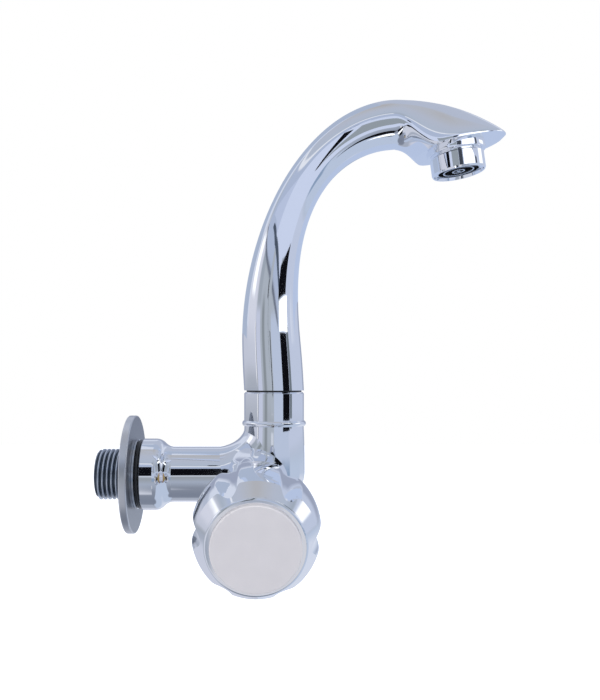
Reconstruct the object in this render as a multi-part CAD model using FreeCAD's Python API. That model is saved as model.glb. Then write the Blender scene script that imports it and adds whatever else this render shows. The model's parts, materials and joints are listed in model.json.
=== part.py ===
import FreeCAD, Part
import math
import os

os.makedirs("parts", exist_ok=True)

# A wall-mounted sink tap with one side valve and a swivelling neck.
# Millimetres. +Z is up and +X leaves the wall. The origin is on the inlet axis, at the wall's face.
# The valve's knob faces -Y.

# Fits
running_gap = 0.05
seated_gap = 0.03
slide_gap = 0.10
cut_margin = 1.0
edge_break = 0.2
corner_break = 0.5

# Inlet shank, flange and collar
thread_diameter = 20.955
shank_length = 12.6
shank_chamfer = 1.0
inlet_bore_diameter = 13.0
flange_diameter = 48.6
flange_thickness = 3.1
shank_seat_diameter = 21.4
flange_bore_gap = 0.15
flange_edge_round = 0.5
shoulder_diameter = 28.6
shoulder_thickness = 0.9
flange_seal_section = 1.9
collar_diameter = 29.4
collar_length = 5.5
collar_taper_length = 7.1
tube_diameter = 22.7

# Column and its elbow
column_axis_x = 60.1
column_waist_diameter = 25.4
column_top_diameter = 24.6
column_shoulder_height = 20.2
column_waist_height = 3.0
column_waist_length = 2.0
elbow_reach = 24.0
elbow_inset = 0.12
elbow_sections = 5
column_bore_diameter = 14.0
column_bore_depth = 18.0

# Valve boss and seat, measured along the valve axis from the column's middle
valve_dip_deg = 10.0
valve_offset_x = -6.9
valve_height = 0.5
boss_root_diameter = 26.8
boss_diameter = 23.6
boss_root_reach = 7.0
boss_neck_reach = 16.0
boss_reach = 24.0
boss_edge_chamfer = 0.5
boss_bore_diameter = 18.2
web_reach = 2.0
seat_bore_diameter = 10.0
seat_lip_width = 1.4
seat_lip_height = 1.0
seat_lip_root = 0.5
rear_pocket_diameter = 8.0
rear_pocket_offset_y = 5.6
rear_pocket_length = 18.1
inlet_bore_end_inset = 16.1
port_diameter = 6.4
port_offset_y = -5.5
port_overlap = 2.0

# Swivel joint on top of the column
swivel_neck_diameter = 21.2
swivel_neck_height = 9.8
swivel_collar_diameter = 24.8
swivel_collar_height = 13.9
swivel_bead_diameter = 26.4
swivel_bead_height = 2.0
swivel_collar_chamfer = 0.6
swivel_lip_diameter = 17.6
slip_washer_thickness = 0.6
slip_washer_inset = 0.4
nipple_diameter = 16.8
nipple_bore_diameter = 12.0
nipple_depth = 18.0
nipple_end_gap = 2.0
nipple_entry = 0.5
nipple_entry_chamfer = 0.6
nipple_plug_diameter = 19.2
nipple_plug_length = 10.0
swivel_ring_section = 1.8
swivel_ring_depths = (7.5, 13.0)
retaining_ring_thickness = 0.9
retaining_ring_width = 2.0
retaining_ring_slot = 3.0

# Neck of the spout: a leaning straight, then a bend that tightens until it runs level
neck_lean_deg = -3.3
neck_straight_length = 19.0
neck_length = 135.9
neck_early_bend_deg = 41.5
neck_steps = 180
neck_sections_count = 13
neck_foot_radius = 12.4
neck_waist_radius = 8.1
neck_head_radius = 9.8
neck_taper_start = 5.0
neck_taper_end = 92.0
neck_wall = 2.4

# Head of the spout, a leaf with a flat underside
head_length = 44.2
head_crown_delay = 3.2
head_crown_radius = 64.0
head_half_width = 16.8
head_widest_share = 0.48
head_plan_power = 2.2
head_chin_start = 5.6
head_chin_length = 6.4
head_chin_depth = 7.0
head_ridge_height = 1.0
head_side_pull = 0.30
head_top_pull = 0.40
leaf_slope_deg = 13.3
leaf_tip_drop = 5.3
head_floor = 4.2
head_shares = (0.06, 0.12, 0.17, 0.22, 0.27, 0.36, 0.48, 0.59, 0.70, 0.80)
head_tip_shares = (0.88, 0.94, 0.975, 0.993)

# Aerator
aerator_tilt_deg = 8.0
aerator_share = 0.5475
nozzle_diameter = 23.8
nozzle_height = 2.2
aerator_groove_height = 0.8
aerator_groove_depth = 0.6
aerator_diameter = 21.8
aerator_height = 7.2
aerator_neck_diameter = 20.5
aerator_neck_length = 3.6
aerator_wall = 0.6
aerator_mouth_depth = 1.4
aerator_lip_height = 0.7
aerator_lip_width = 1.1
aerator_mouth_chamfer = 0.35
aerator_seal_thickness = 1.0
aerator_seal_width = 2.0
grille_ring_radii = (8.75, 6.3, 2.6)
grille_ring_width = 0.55
grille_rim_width = 0.85
grille_pip_diameter = 1.6
grille_height = 1.3
grille_flange_height = 0.8
grille_spoke_width = 0.6
grille_spokes = 8
cage_height = 3.4
cage_wall = 0.9
cage_plate_thickness = 1.0
cage_hole_diameter = 1.3
cage_holes = 10
cage_hole_circle = 11.0
screen_thickness = 0.3
screen_count = 2
screen_pitch = 0.75

# Valve insides, along the valve axis
washer_seat_gap = 0.05
jumper_washer_diameter = 14.0
jumper_washer_thickness = 3.0
jumper_washer_bore = 4.2
jumper_plate_diameter = 14.6
jumper_plate_thickness = 2.5
jumper_pin_diameter = 4.0
jumper_nut_across = 7.0
jumper_nut_height = 1.6
guide_across = 11.8
guide_length = 7.5
stem_thread_diameter = 6.0
stem_length = 9.0
valve_lift = 3.75
lift_margin = 0.7
spindle_flange_diameter = 11.6
spindle_flange_thickness = 2.0
thrust_washer_thickness = 0.6
spindle_diameter = 8.8
spindle_socket_depth = 8.7
spindle_ring_section = 1.5
spindle_ring_heights = (8.0, 12.0)
bonnet_seal_thickness = 1.2
bonnet_hex_across = 20.4
bonnet_hex_height = 7.0
bonnet_hex_chamfer = 0.8
bonnet_neck_diameter = 17.2
bonnet_neck_height = 6.0
bonnet_crown_diameter = 14.0
bonnet_crown_height = 3.0
bonnet_crown_flare = 0.8
clip_thickness = 0.8
clip_width = 2.2
clip_groove_depth = 0.7
clip_opening = 3.0
spline_diameter = 8.0
spline_depth = 0.5
spline_teeth = 20
spline_root_share = (-0.30, 0.15)
spline_tip_share = (0.20, 0.08)
spline_length = 14.0
spline_start_gap = 2.0
screw_hole_depth = 9.0

# Knob, along the valve axis
knob_hex_clearance = 15.8
knob_rear_length = 13.5
knob_front_length = 9.5
knob_bevel_length = 5.6
knob_bead_height = 0.7
knob_belly_radius = 21.45
knob_rear_curve = 42.0
knob_front_curve = 30.0
knob_valley_radius = 19.7
knob_valley_curve = 40.0
knob_turned_deg = -3.5
knob_lobes = 6
knob_sections = 8
flute_radius = 6.2
flute_lip_radius = 2.2
knob_least_flute = 0.6
knob_shoulder_radius = 20.1
knob_bead_radius = 16.4
knob_face_radius = 15.2
knob_cavity_radius = 16.4
knob_cavity_corner = 2.0
knob_front_wall = 5.0
knob_hub_diameter = 15.0
knob_hub_proud = 1.5
knob_hub_set_back = 5.0
knob_screw_pocket_diameter = 20.0
cap_radius = 14.35
cap_proud = 1.7
cap_edge_round = 0.45
cap_thickness = 2.4
cap_plug_length = 4.0
cap_plug_wall = 1.2
cap_ring_height = 0.8
cap_ring_inset = 0.35
bush_wall = 1.4
screw_thread_diameter = 4.0
screw_head_diameter = 7.6
screw_head_height = 2.6
screw_slot_width = 1.1
screw_slot_depth = 1.2
screw_length = 8.0
screw_crown_place = 0.8
screw_crown_drop = 0.3

# Places worked out from the sizes
X_AXIS = FreeCAD.Vector(1, 0, 0)
Y_AXIS = FreeCAD.Vector(0, 1, 0)
Z_AXIS = FreeCAD.Vector(0, 0, 1)
ORIGIN = FreeCAD.Vector(0, 0, 0)
FULL_TURN = 360.0
LEVEL = 90.0
ROUND_PULL = 0.5523
bow_drop = 0.29
bow_place = 0.27

seal_start_x = flange_thickness + shoulder_thickness
collar_start_x = seal_start_x + flange_seal_section
collar_end_x = collar_start_x + collar_length
tube_start_x = collar_end_x + collar_taper_length
collar_floor_z = column_shoulder_height
collar_top_z = collar_floor_z + swivel_collar_height
neck_top_z = collar_floor_z + swivel_neck_height
swivel_lip_z = neck_top_z + retaining_ring_thickness + 2 * running_gap
spout_foot_z = collar_top_z + slip_washer_thickness + 2 * running_gap

seat_reach = web_reach + seat_lip_height
washer_reach = seat_reach + washer_seat_gap
plate_reach = washer_reach + jumper_washer_thickness
guide_reach = plate_reach + jumper_plate_thickness
stem_reach = guide_reach + guide_length
stem_end_reach = stem_reach + stem_length
bonnet_start_reach = guide_reach + valve_lift + lift_margin
spindle_start_reach = stem_reach + valve_lift + lift_margin
spindle_shoulder_reach = spindle_start_reach + spindle_flange_thickness
bonnet_shoulder_reach = spindle_shoulder_reach + thrust_washer_thickness + 2 * running_gap
hex_start_reach = boss_reach + bonnet_seal_thickness
hex_end_reach = hex_start_reach + bonnet_hex_height
bonnet_crown_reach = hex_end_reach + bonnet_neck_height
bonnet_end_reach = bonnet_crown_reach + bonnet_crown_height
clip_start_reach = bonnet_end_reach + running_gap
spline_start_reach = clip_start_reach + clip_thickness + spline_start_gap
spline_end_reach = spline_start_reach + spline_length

knob_rear_reach = hex_end_reach + knob_hex_clearance
knob_belly_reach = knob_rear_reach + knob_rear_length
knob_shoulder_reach = knob_belly_reach + knob_front_length
knob_bead_reach = knob_shoulder_reach + knob_bevel_length
knob_face_reach = knob_bead_reach + knob_bead_height
knob_cavity_reach = knob_shoulder_reach - knob_front_wall
knob_hub_rear_reach = knob_rear_reach - knob_hub_proud
screw_floor_reach = knob_cavity_reach - knob_hub_set_back
cap_reach = knob_face_reach + cap_proud
cap_disc_reach = cap_reach - cap_thickness
cap_seat_reach = cap_disc_reach - cap_ring_height

aerator_top = nozzle_height - aerator_neck_length
aerator_body_start = nozzle_height + aerator_groove_height
aerator_mouth = aerator_body_start + aerator_height
aerator_lip = aerator_mouth - aerator_mouth_depth
grille_seat = aerator_lip - aerator_lip_height
cage_bottom = grille_seat - grille_flange_height
aerator_bore = aerator_neck_diameter - 2 * aerator_wall


def at(x, y, z):
    """Vector of three coordinates."""
    return FreeCAD.Vector(x, y, z)


def chain(start, *steps):
    """Edges from start: a step of one point is a line, a step of two points is an arc."""
    edges = []
    here = start
    for step in steps:
        if isinstance(step[0], tuple):
            middle, end = step
            edges.append(Part.Arc(at(here[0], 0, here[1]), at(middle[0], 0, middle[1]),
                                  at(end[0], 0, end[1])).toShape())
            here = end
        else:
            edges.append(Part.LineSegment(at(here[0], 0, here[1]), at(step[0], 0, step[1])).toShape())
            here = step
    if math.dist(here, start) > 1e-6:
        edges.append(Part.LineSegment(at(here[0], 0, here[1]), at(start[0], 0, start[1])).toShape())
    return edges


def turned(start, *steps):
    """Solid of revolution about Z, from a closed profile of (radius, height)."""
    face = Part.Face(Part.Wire(chain(start, *steps)))
    return face.revolve(ORIGIN, Z_AXIS, FULL_TURN)


def rod(diameter, low, high):
    """Round bar on Z between two heights."""
    return Part.makeCylinder(diameter / 2, high - low, at(0, 0, low), Z_AXIS)


def ring(outer_diameter, inner_diameter, low, high):
    """Flat ring on Z between two heights."""
    return rod(outer_diameter, low, high).cut(rod(inner_diameter, low, high))


def o_ring(inner_diameter, section, height):
    """Round seal ring whose middle lies at a height on Z."""
    return Part.makeTorus(inner_diameter / 2 + section / 2, section / 2, at(0, 0, height), Z_AXIS)


def hex_bar(across, low, high):
    """Six-sided bar on Z, by its width across flats."""
    corner = across / math.sqrt(3)
    points = [at(corner * math.cos(math.radians(60 * i)), corner * math.sin(math.radians(60 * i)), low)
              for i in range(7)]
    return Part.Face(Part.makePolygon(points)).extrude(at(0, 0, high - low))


def moved(shape, x, y, z):
    """Copy of a shape, shifted."""
    copy = shape.copy()
    copy.translate(at(x, y, z))
    return copy


def on_inlet(shape):
    """From Z to the inlet axis, which leaves the wall along X."""
    copy = shape.copy()
    copy.Placement = FreeCAD.Placement(ORIGIN, FreeCAD.Rotation(Y_AXIS, 90))
    return copy


def on_valve(shape):
    """From Z to the valve axis, which leaves the column towards the knob."""
    copy = shape.copy()
    start = at(column_axis_x + valve_offset_x, 0, valve_height)
    copy.Placement = FreeCAD.Placement(start, FreeCAD.Rotation(X_AXIS, 90 + valve_dip_deg))
    return copy


def on_aerator(shape):
    """From Z to the aerator's axis, which points down and slightly away from the wall."""
    copy = shape.copy()
    copy.Placement = FreeCAD.Placement(nozzle_root(), FreeCAD.Rotation(Y_AXIS, 180 - aerator_tilt_deg))
    return copy


def smooth(share):
    """Ease from 0 to 1 with level ends."""
    share = min(1.0, max(0.0, share))
    return share * share * (3 - 2 * share)


# Neck and head of the spout

def neck_heading(distance):
    """Heading of the neck at a distance from its foot, in degrees from upright."""
    share = max(0.0, distance - neck_straight_length) / (neck_length - neck_straight_length)
    late_bend = LEVEL - neck_lean_deg - neck_early_bend_deg
    return neck_lean_deg + neck_early_bend_deg * share + late_bend * share ** 3


def neck_point(distance):
    """Point of the neck's centreline in X and Z, summed in short steps from the foot."""
    x, z = column_axis_x, spout_foot_z
    step = distance / neck_steps
    for i in range(neck_steps):
        heading = math.radians(neck_heading((i + 0.5) * step))
        x += step * math.sin(heading)
        z += step * math.cos(heading)
    return x, z


def neck_radius(distance):
    """Outer radius of the neck, wide at the foot, slim in the arch and fuller at the head."""
    if distance < neck_taper_end:
        share = max(0.0, distance - neck_taper_start) / (neck_taper_end - neck_taper_start)
        swing = (1 + math.cos(math.pi * share)) / 2
        return neck_waist_radius + (neck_foot_radius - neck_waist_radius) * swing
    share = (distance - neck_taper_end) / (neck_length - neck_taper_end)
    return neck_waist_radius + (neck_head_radius - neck_waist_radius) * smooth(share)


def leaf_height(x):
    """Height of the head's flat underside at x."""
    start_x, start_z = neck_point(neck_length)
    return start_z - leaf_tip_drop - (start_x + head_length - x) * math.tan(math.radians(leaf_slope_deg))


def nozzle_root():
    """Point where the aerator's axis crosses the head's underside."""
    x = neck_point(neck_length)[0] + head_length * aerator_share
    return at(x, 0, leaf_height(x))


def quarter(side_reach, height, side_pull, height_pull):
    """Curve from the side of a section to its top, pulled out towards the corner."""
    curve = Part.BezierCurve()
    curve.setPoles([at(0, side_reach, 0), at(side_pull * height, side_reach, 0),
                    at(height, height_pull * side_reach, 0), at(height, 0, 0)])
    return curve.toShape()


def oval(x, z, heading, width, rise, fall, side_pull=ROUND_PULL, top_pull=ROUND_PULL):
    """Closed section square to the heading, wide in Y, with a crown that may be fuller or leaner."""
    placement = FreeCAD.Placement(at(x, 0, z), FreeCAD.Rotation(Y_AXIS, heading))
    edges = [quarter(width, -rise, side_pull, top_pull), quarter(-width, -rise, side_pull, top_pull),
             quarter(-width, fall, ROUND_PULL, ROUND_PULL), quarter(width, fall, ROUND_PULL, ROUND_PULL)]
    wire = Part.Wire(Part.__sortEdges__(edges))
    wire.Placement = placement
    return wire


def neck_sections(first, skin):
    """Round sections of the neck from a distance on, drawn in by a skin thickness."""
    sections = []
    for i in range(neck_sections_count):
        distance = first + (neck_length - first) * i / (neck_sections_count - 1)
        x, z = neck_point(distance)
        heading = neck_heading(distance) if i else 0.0
        radius = neck_radius(distance) - skin
        sections.append(oval(x, z, heading, radius, radius, radius))
    return sections


def head_section(share, skin):
    """Section of the head at a share of its length, drawn in by a skin thickness."""
    start_x, start_z = neck_point(neck_length)
    forward = head_length * share
    past_crown = max(0.0, forward - head_crown_delay)
    crown_drop = head_crown_radius - math.sqrt(head_crown_radius ** 2 - past_crown ** 2)
    top = start_z + neck_head_radius - crown_drop
    chin = smooth((forward - head_chin_start) / head_chin_length)
    ridge = leaf_height(start_x + forward) + head_ridge_height * (1 - share)
    middle = start_z + (ridge - start_z) * chin
    fall = neck_head_radius + (head_chin_depth - neck_head_radius) * chin
    if share < head_widest_share:
        widen = smooth(share / head_widest_share)
        width = neck_head_radius + (head_half_width - neck_head_radius) * widen
    else:
        past = (share - head_widest_share) / (1 - head_widest_share)
        width = head_half_width * (1 - past ** head_plan_power) ** (1 / head_plan_power)
    side_pull = ROUND_PULL + (head_side_pull - ROUND_PULL) * smooth(share / head_widest_share)
    top_pull = ROUND_PULL + (head_top_pull - ROUND_PULL) * smooth(share / head_widest_share)
    return oval(start_x + forward, middle, LEVEL, width - skin, top - middle - skin, fall - skin,
                side_pull, top_pull)


def underside_block(floor):
    """Everything below the head's underside, raised by a floor thickness."""
    tip_x = neck_point(neck_length)[0] + head_length
    corner = at(-head_length, -2 * head_half_width, -2 * head_length)
    block = Part.makeBox(2 * head_length, 4 * head_half_width, 2 * head_length, corner)
    block.Placement = FreeCAD.Placement(at(tip_x, 0, leaf_height(tip_x) + floor),
                                        FreeCAD.Rotation(Y_AXIS, -leaf_slope_deg))
    return block


def spout_form(first, skin, head_marks):
    """Solid of neck and head from a distance on, drawn in by a skin thickness."""
    neck = Part.makeLoft(neck_sections(first, skin), True)
    head = Part.makeLoft([head_section(share, skin) for share in (0.0,) + head_marks], True)
    return neck.fuse(head)


def spout_skin():
    """Outer form of neck and head, with the flat leaf cut."""
    return spout_form(0.0, 0.0, head_shares + head_tip_shares).cut(underside_block(0.0))


def spout_waterway():
    """Hollow of neck and head, above the head's floor."""
    start = nipple_plug_length + neck_wall / 2
    return spout_form(start, neck_wall, head_shares).cut(underside_block(head_floor))


def make_spout():
    """Hollow neck and head with the nozzle ring for the aerator."""
    nozzle = on_aerator(rod(nozzle_diameter, -head_floor / 2, nozzle_height))
    shape = spout_skin().fuse(nozzle)
    shape = shape.cut(spout_waterway())
    foot_bore_end = spout_foot_z + nipple_plug_length + neck_wall
    foot_bore = rod(nipple_plug_diameter + 2 * seated_gap, spout_foot_z, foot_bore_end)
    shape = shape.cut(moved(foot_bore, column_axis_x, 0, 0))
    socket_floor = aerator_top - aerator_seal_thickness - seated_gap
    socket = rod(aerator_neck_diameter + 2 * seated_gap, socket_floor, nozzle_height + cut_margin)
    way = rod(aerator_neck_diameter - 2 * aerator_seal_width, -2 * head_floor, nozzle_height)
    return shape.cut(on_aerator(socket)).cut(on_aerator(way))


# Body and inlet

def make_tap_body():
    """Casting with shank, collar, tube, elbow, column and valve boss, bored for the water."""
    thread_r = thread_diameter / 2
    seat_r = shank_seat_diameter / 2
    tube_r = tube_diameter / 2
    collar_r = collar_diameter / 2
    shoulder_r = shoulder_diameter / 2
    groove_r = shoulder_r - flange_seal_section - seated_gap
    step = (collar_r - tube_r) / 2
    shank = turned(
        (0, -shank_length), (thread_r - shank_chamfer, -shank_length),
        (thread_r, shank_chamfer - shank_length), (thread_r, 0), (seat_r, 0),
        (seat_r, flange_thickness), (shoulder_r - edge_break, flange_thickness),
        (shoulder_r, flange_thickness + edge_break), (shoulder_r, seal_start_x),
        (groove_r, seal_start_x), (groove_r, collar_start_x), (collar_r - corner_break, collar_start_x),
        (collar_r, collar_start_x + corner_break), (collar_r, collar_end_x),
        ((collar_r - bow_drop * step, collar_end_x + collar_taper_length * bow_place),
         (tube_r + step, collar_end_x + collar_taper_length / 2)),
        ((tube_r + bow_drop * step, tube_start_x - collar_taper_length * bow_place),
         (tube_r, tube_start_x)),
        (tube_r, column_axis_x), (0, column_axis_x))
    body = on_inlet(shank)
    body = body.fuse(make_elbow()).fuse(make_column()).fuse(make_boss())
    for hollow in body_hollows():
        body = body.cut(hollow)
    lip_diameter = seat_bore_diameter + 2 * seat_lip_width
    lip = ring(lip_diameter, seat_bore_diameter, web_reach - seat_lip_root, seat_reach)
    return body.fuse(on_valve(lip)).removeSplitter()


def make_elbow():
    """Bend from the level tube up into the column, widening to the column's top."""
    start_r = tube_diameter / 2 - elbow_inset
    end_r = column_top_diameter / 2 - elbow_inset
    sections = []
    for i in range(elbow_sections):
        share = i / (elbow_sections - 1)
        angle = math.radians(LEVEL * share)
        radius = start_r + (end_r - start_r) * share
        x = column_axis_x - elbow_reach * (1 - math.sin(angle))
        z = column_shoulder_height * (1 - math.cos(angle))
        along = math.atan2(elbow_reach * math.cos(angle), column_shoulder_height * math.sin(angle))
        sections.append(oval(x, z, math.degrees(along), radius, radius, radius))
    return Part.makeLoft(sections, True)


def make_column():
    """Upright column, slightly barrelled, with a round bottom and the threaded swivel neck."""
    waist_r = column_waist_diameter / 2
    top_r = column_top_diameter / 2
    neck_r = swivel_neck_diameter / 2
    diagonal = math.sqrt(0.5)
    middle_z = (column_waist_height + column_shoulder_height) / 2
    middle_r = (waist_r + top_r) / 2 + (waist_r - top_r) / 4
    cup_z = column_waist_height - column_waist_length
    column = turned(
        (0, cup_z - waist_r), ((waist_r * diagonal, cup_z - waist_r * diagonal), (waist_r, cup_z)),
        (waist_r, column_waist_height), ((middle_r, middle_z), (top_r, column_shoulder_height)),
        (neck_r, column_shoulder_height), (neck_r, neck_top_z), (0, neck_top_z))
    return moved(column, column_axis_x, 0, 0)


def make_boss():
    """Bell-shaped boss that carries the valve."""
    root_r = boss_root_diameter / 2
    rim_r = boss_diameter / 2
    middle = (boss_root_reach + boss_neck_reach) / 2
    hollow_r = rim_r + bow_drop * (root_r - rim_r)
    boss = turned(
        (0, 0), (root_r, 0), (root_r, boss_root_reach), ((hollow_r, middle), (rim_r, boss_neck_reach)),
        (rim_r, boss_reach - boss_edge_chamfer), (rim_r - boss_edge_chamfer, boss_reach), (0, boss_reach))
    return on_valve(boss)


def body_hollows():
    """Water passages: inlet, rear pocket, seat, valve chamber, port and column bore."""
    inlet_end_x = column_axis_x - inlet_bore_end_inset
    inlet = on_inlet(rod(inlet_bore_diameter, -shank_length - cut_margin, inlet_end_x))
    pocket = on_inlet(rod(rear_pocket_diameter, column_axis_x - rear_pocket_length, column_axis_x))
    pocket = moved(pocket, 0, rear_pocket_offset_y, valve_height)
    seat = on_valve(rod(seat_bore_diameter, -rear_pocket_offset_y, seat_reach))
    chamber = on_valve(rod(boss_bore_diameter, web_reach, boss_reach + cut_margin))
    water_floor = neck_top_z - column_bore_depth
    port = rod(port_diameter, valve_height + boss_bore_diameter / 4, water_floor + port_overlap)
    port = moved(port, column_axis_x + valve_offset_x, port_offset_y, 0)
    water = moved(rod(column_bore_diameter, water_floor, neck_top_z + cut_margin), column_axis_x, 0, 0)
    guide_floor = neck_top_z - nipple_depth + nipple_end_gap - nipple_entry
    guide = rod(nipple_diameter + 2 * running_gap, guide_floor, neck_top_z + cut_margin)
    guide = moved(guide, column_axis_x, 0, 0)
    return [inlet, pocket, seat, chamber, port, water, guide]


def make_wall_flange():
    """Flat disc that covers the hole in the wall."""
    outer = flange_diameter / 2
    inner = shank_seat_diameter / 2 + flange_bore_gap
    soft = flange_edge_round
    near = soft * (1 - math.sqrt(0.5))
    disc = turned(
        (inner, 0), (outer - soft, 0), ((outer - near, near), (outer, soft)),
        (outer, flange_thickness - soft),
        ((outer - near, flange_thickness - near), (outer - soft, flange_thickness)),
        (inner, flange_thickness))
    return on_inlet(disc)


def make_flange_seal():
    """Ring between the shoulder and the collar."""
    groove = shoulder_diameter - 2 * flange_seal_section
    return on_inlet(o_ring(groove, flange_seal_section - 2 * seated_gap,
                           (seal_start_x + collar_start_x) / 2))


# Swivel joint

def make_swivel_collar():
    """Nut on the column's neck, with a bead at its foot and a lip over the retaining ring."""
    outer = swivel_collar_diameter / 2
    bead = swivel_bead_diameter / 2
    bore = swivel_neck_diameter / 2 + seated_gap
    lip = swivel_lip_diameter / 2
    bead_top = collar_floor_z + swivel_bead_height
    chamfer = swivel_collar_chamfer
    nut = turned(
        (bore, collar_floor_z), (bead - corner_break, collar_floor_z),
        ((bead, collar_floor_z + swivel_bead_height / 2), (bead - corner_break, bead_top)),
        (outer, bead_top + edge_break), (outer, collar_top_z - chamfer), (outer - chamfer, collar_top_z),
        (lip, collar_top_z), (lip, swivel_lip_z), (bore, swivel_lip_z))
    return moved(nut, column_axis_x, 0, 0)


def make_slip_washer():
    """Thin washer that the spout's foot turns on."""
    low = collar_top_z + running_gap
    washer = ring(swivel_collar_diameter - 2 * slip_washer_inset - 2 * swivel_collar_chamfer,
                  nipple_diameter + 2 * slip_washer_inset, low, low + slip_washer_thickness)
    return moved(washer, column_axis_x, 0, 0)


def make_swivel_nipple():
    """Stub fixed in the spout's foot, grooved for two rings and the retaining ring."""
    outer = nipple_diameter / 2
    plug = nipple_plug_diameter / 2
    bore = nipple_bore_diameter / 2
    low = neck_top_z - nipple_depth + nipple_end_gap
    seat = spout_foot_z + seated_gap
    top = spout_foot_z + nipple_plug_length
    soft = nipple_entry_chamfer
    stub = turned((bore, low), (outer - soft, low), (outer, low + soft), (outer, seat),
                  (plug, seat), (plug, top - soft), (plug - soft, top), (bore, top))
    groove_floor = nipple_diameter - 2 * swivel_ring_section + 2 * running_gap
    for depth in swivel_ring_depths:
        middle = neck_top_z - depth
        half = swivel_ring_section / 2 + running_gap
        stub = stub.cut(ring(nipple_diameter + cut_margin, groove_floor, middle - half, middle + half))
    slot_floor = nipple_diameter - retaining_ring_width
    stub = stub.cut(ring(nipple_diameter + cut_margin, slot_floor, neck_top_z, swivel_lip_z))
    return moved(stub, column_axis_x, 0, 0)


def make_swivel_ring(depth):
    """O-ring in the nipple's groove at a depth below the column's top."""
    groove_floor = nipple_diameter - 2 * swivel_ring_section + 2 * running_gap
    seal = o_ring(groove_floor + seated_gap, swivel_ring_section - seated_gap, neck_top_z - depth)
    return moved(seal, column_axis_x, 0, 0)


def make_retaining_ring():
    """Split ring in the nipple's slot, held under the collar's lip."""
    inner = nipple_diameter - retaining_ring_width + 2 * seated_gap
    outer = inner + 2 * retaining_ring_width
    low = neck_top_z + running_gap
    split = Part.makeBox(outer, retaining_ring_slot, 2 * retaining_ring_thickness,
                         at(0, -retaining_ring_slot / 2, low - retaining_ring_thickness / 2))
    washer = ring(outer, inner, low, low + retaining_ring_thickness).cut(split)
    return moved(washer, column_axis_x, 0, 0)


# Aerator, along its own axis from the head's underside

def make_aerator_housing():
    """Chromed ring with a threaded neck, a thin groove and a bevelled mouth."""
    neck = aerator_neck_diameter / 2
    outer = aerator_diameter / 2
    bore = aerator_bore / 2
    lip = bore - aerator_lip_width
    groove = outer - aerator_groove_depth
    bevel = aerator_mouth_chamfer
    mouth = outer - 2 * bevel - edge_break
    shell = turned(
        (bore, aerator_top), (neck - edge_break, aerator_top), (neck, aerator_top + edge_break),
        (neck, nozzle_height),
        (groove, nozzle_height), (groove, aerator_body_start), (outer - bevel, aerator_body_start),
        (outer, aerator_body_start + bevel), (outer, aerator_mouth - 2 * bevel),
        (outer - bevel, aerator_mouth), (mouth, aerator_mouth), (bore, aerator_lip), (lip, aerator_lip),
        (lip, grille_seat), (bore, grille_seat))
    return on_aerator(shell)


def make_aerator_seal():
    """Flat washer between the housing's neck and the nozzle's shoulder."""
    low = aerator_top - aerator_seal_thickness
    inner = aerator_neck_diameter - 2 * aerator_seal_width
    return on_aerator(ring(aerator_neck_diameter - seated_gap, inner, low, aerator_top))


def make_aerator_grille():
    """Concentric rings on spokes, seen in the mouth."""
    lip = aerator_bore - 2 * aerator_lip_width
    low = grille_seat - seated_gap
    top = cage_bottom
    nose = low + grille_height
    shape = ring(aerator_bore - 2 * seated_gap, lip - 2 * grille_rim_width, top, low)
    for radius in grille_ring_radii:
        outer = min(2 * radius, lip - 2 * seated_gap)
        shape = shape.fuse(ring(outer, 2 * (radius - grille_ring_width), top, nose))
    shape = shape.fuse(rod(grille_pip_diameter, top, nose))
    reach = grille_ring_radii[0] - grille_ring_width / 2
    for i in range(grille_spokes):
        corner = at(0, -grille_spoke_width / 2, top)
        spoke = Part.makeBox(reach, grille_spoke_width, grille_flange_height, corner)
        spoke.rotate(ORIGIN, Z_AXIS, FULL_TURN * i / grille_spokes)
        shape = shape.fuse(spoke)
    return on_aerator(shape.removeSplitter())


def make_aerator_cage():
    """Cup of the aerator with a drilled mixing plate."""
    outer = aerator_bore - 2 * seated_gap
    top = cage_bottom - cage_height
    plate = top + cage_plate_thickness
    cup = rod(outer, top, cage_bottom).cut(rod(outer - 2 * cage_wall, plate, cage_bottom))
    circle_r = cage_hole_circle / 2
    for i in range(cage_holes):
        angle = 2 * math.pi * i / cage_holes
        hole = rod(cage_hole_diameter, top, plate)
        cup = cup.cut(moved(hole, circle_r * math.cos(angle), circle_r * math.sin(angle), 0))
    return on_aerator(cup)


def make_aerator_screens():
    """Fine mesh discs under the mixing plate, plain here."""
    outer = aerator_bore - 2 * cage_wall - 4 * seated_gap
    discs = []
    for i in range(screen_count):
        low = cage_bottom - seated_gap - screen_thickness - i * screen_pitch
        discs.append(on_aerator(rod(outer, low, low + screen_thickness)))
    return Part.makeCompound(discs)


# Valve

def make_valve_bonnet():
    """Headwork body: threaded skirt with a six-sided guide bore, hexagon, neck and crown."""
    skirt = boss_bore_diameter - 2 * seated_gap
    shape = rod(skirt, bonnet_start_reach, hex_start_reach)
    corner = bonnet_hex_across / math.sqrt(3)
    cone = turned(
        (0, hex_start_reach), (corner, hex_start_reach), (corner, hex_end_reach - bonnet_hex_chamfer),
        (corner - 2 * bonnet_hex_chamfer, hex_end_reach), (0, hex_end_reach))
    shape = shape.fuse(hex_bar(bonnet_hex_across, hex_start_reach, hex_end_reach).common(cone))
    neck_r = bonnet_neck_diameter / 2
    crown_r = bonnet_crown_diameter / 2
    top = turned(
        (0, hex_end_reach), (neck_r, hex_end_reach), (neck_r, bonnet_crown_reach - bonnet_crown_flare),
        (crown_r, bonnet_crown_reach), (crown_r, bonnet_end_reach - corner_break),
        (crown_r - corner_break, bonnet_end_reach), (0, bonnet_end_reach))
    shape = shape.fuse(top)
    shape = shape.cut(hex_bar(guide_across + 2 * slide_gap, bonnet_start_reach, bonnet_shoulder_reach))
    shape = shape.cut(rod(spindle_diameter + 2 * running_gap, bonnet_shoulder_reach, bonnet_end_reach))
    return on_valve(shape)


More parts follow.
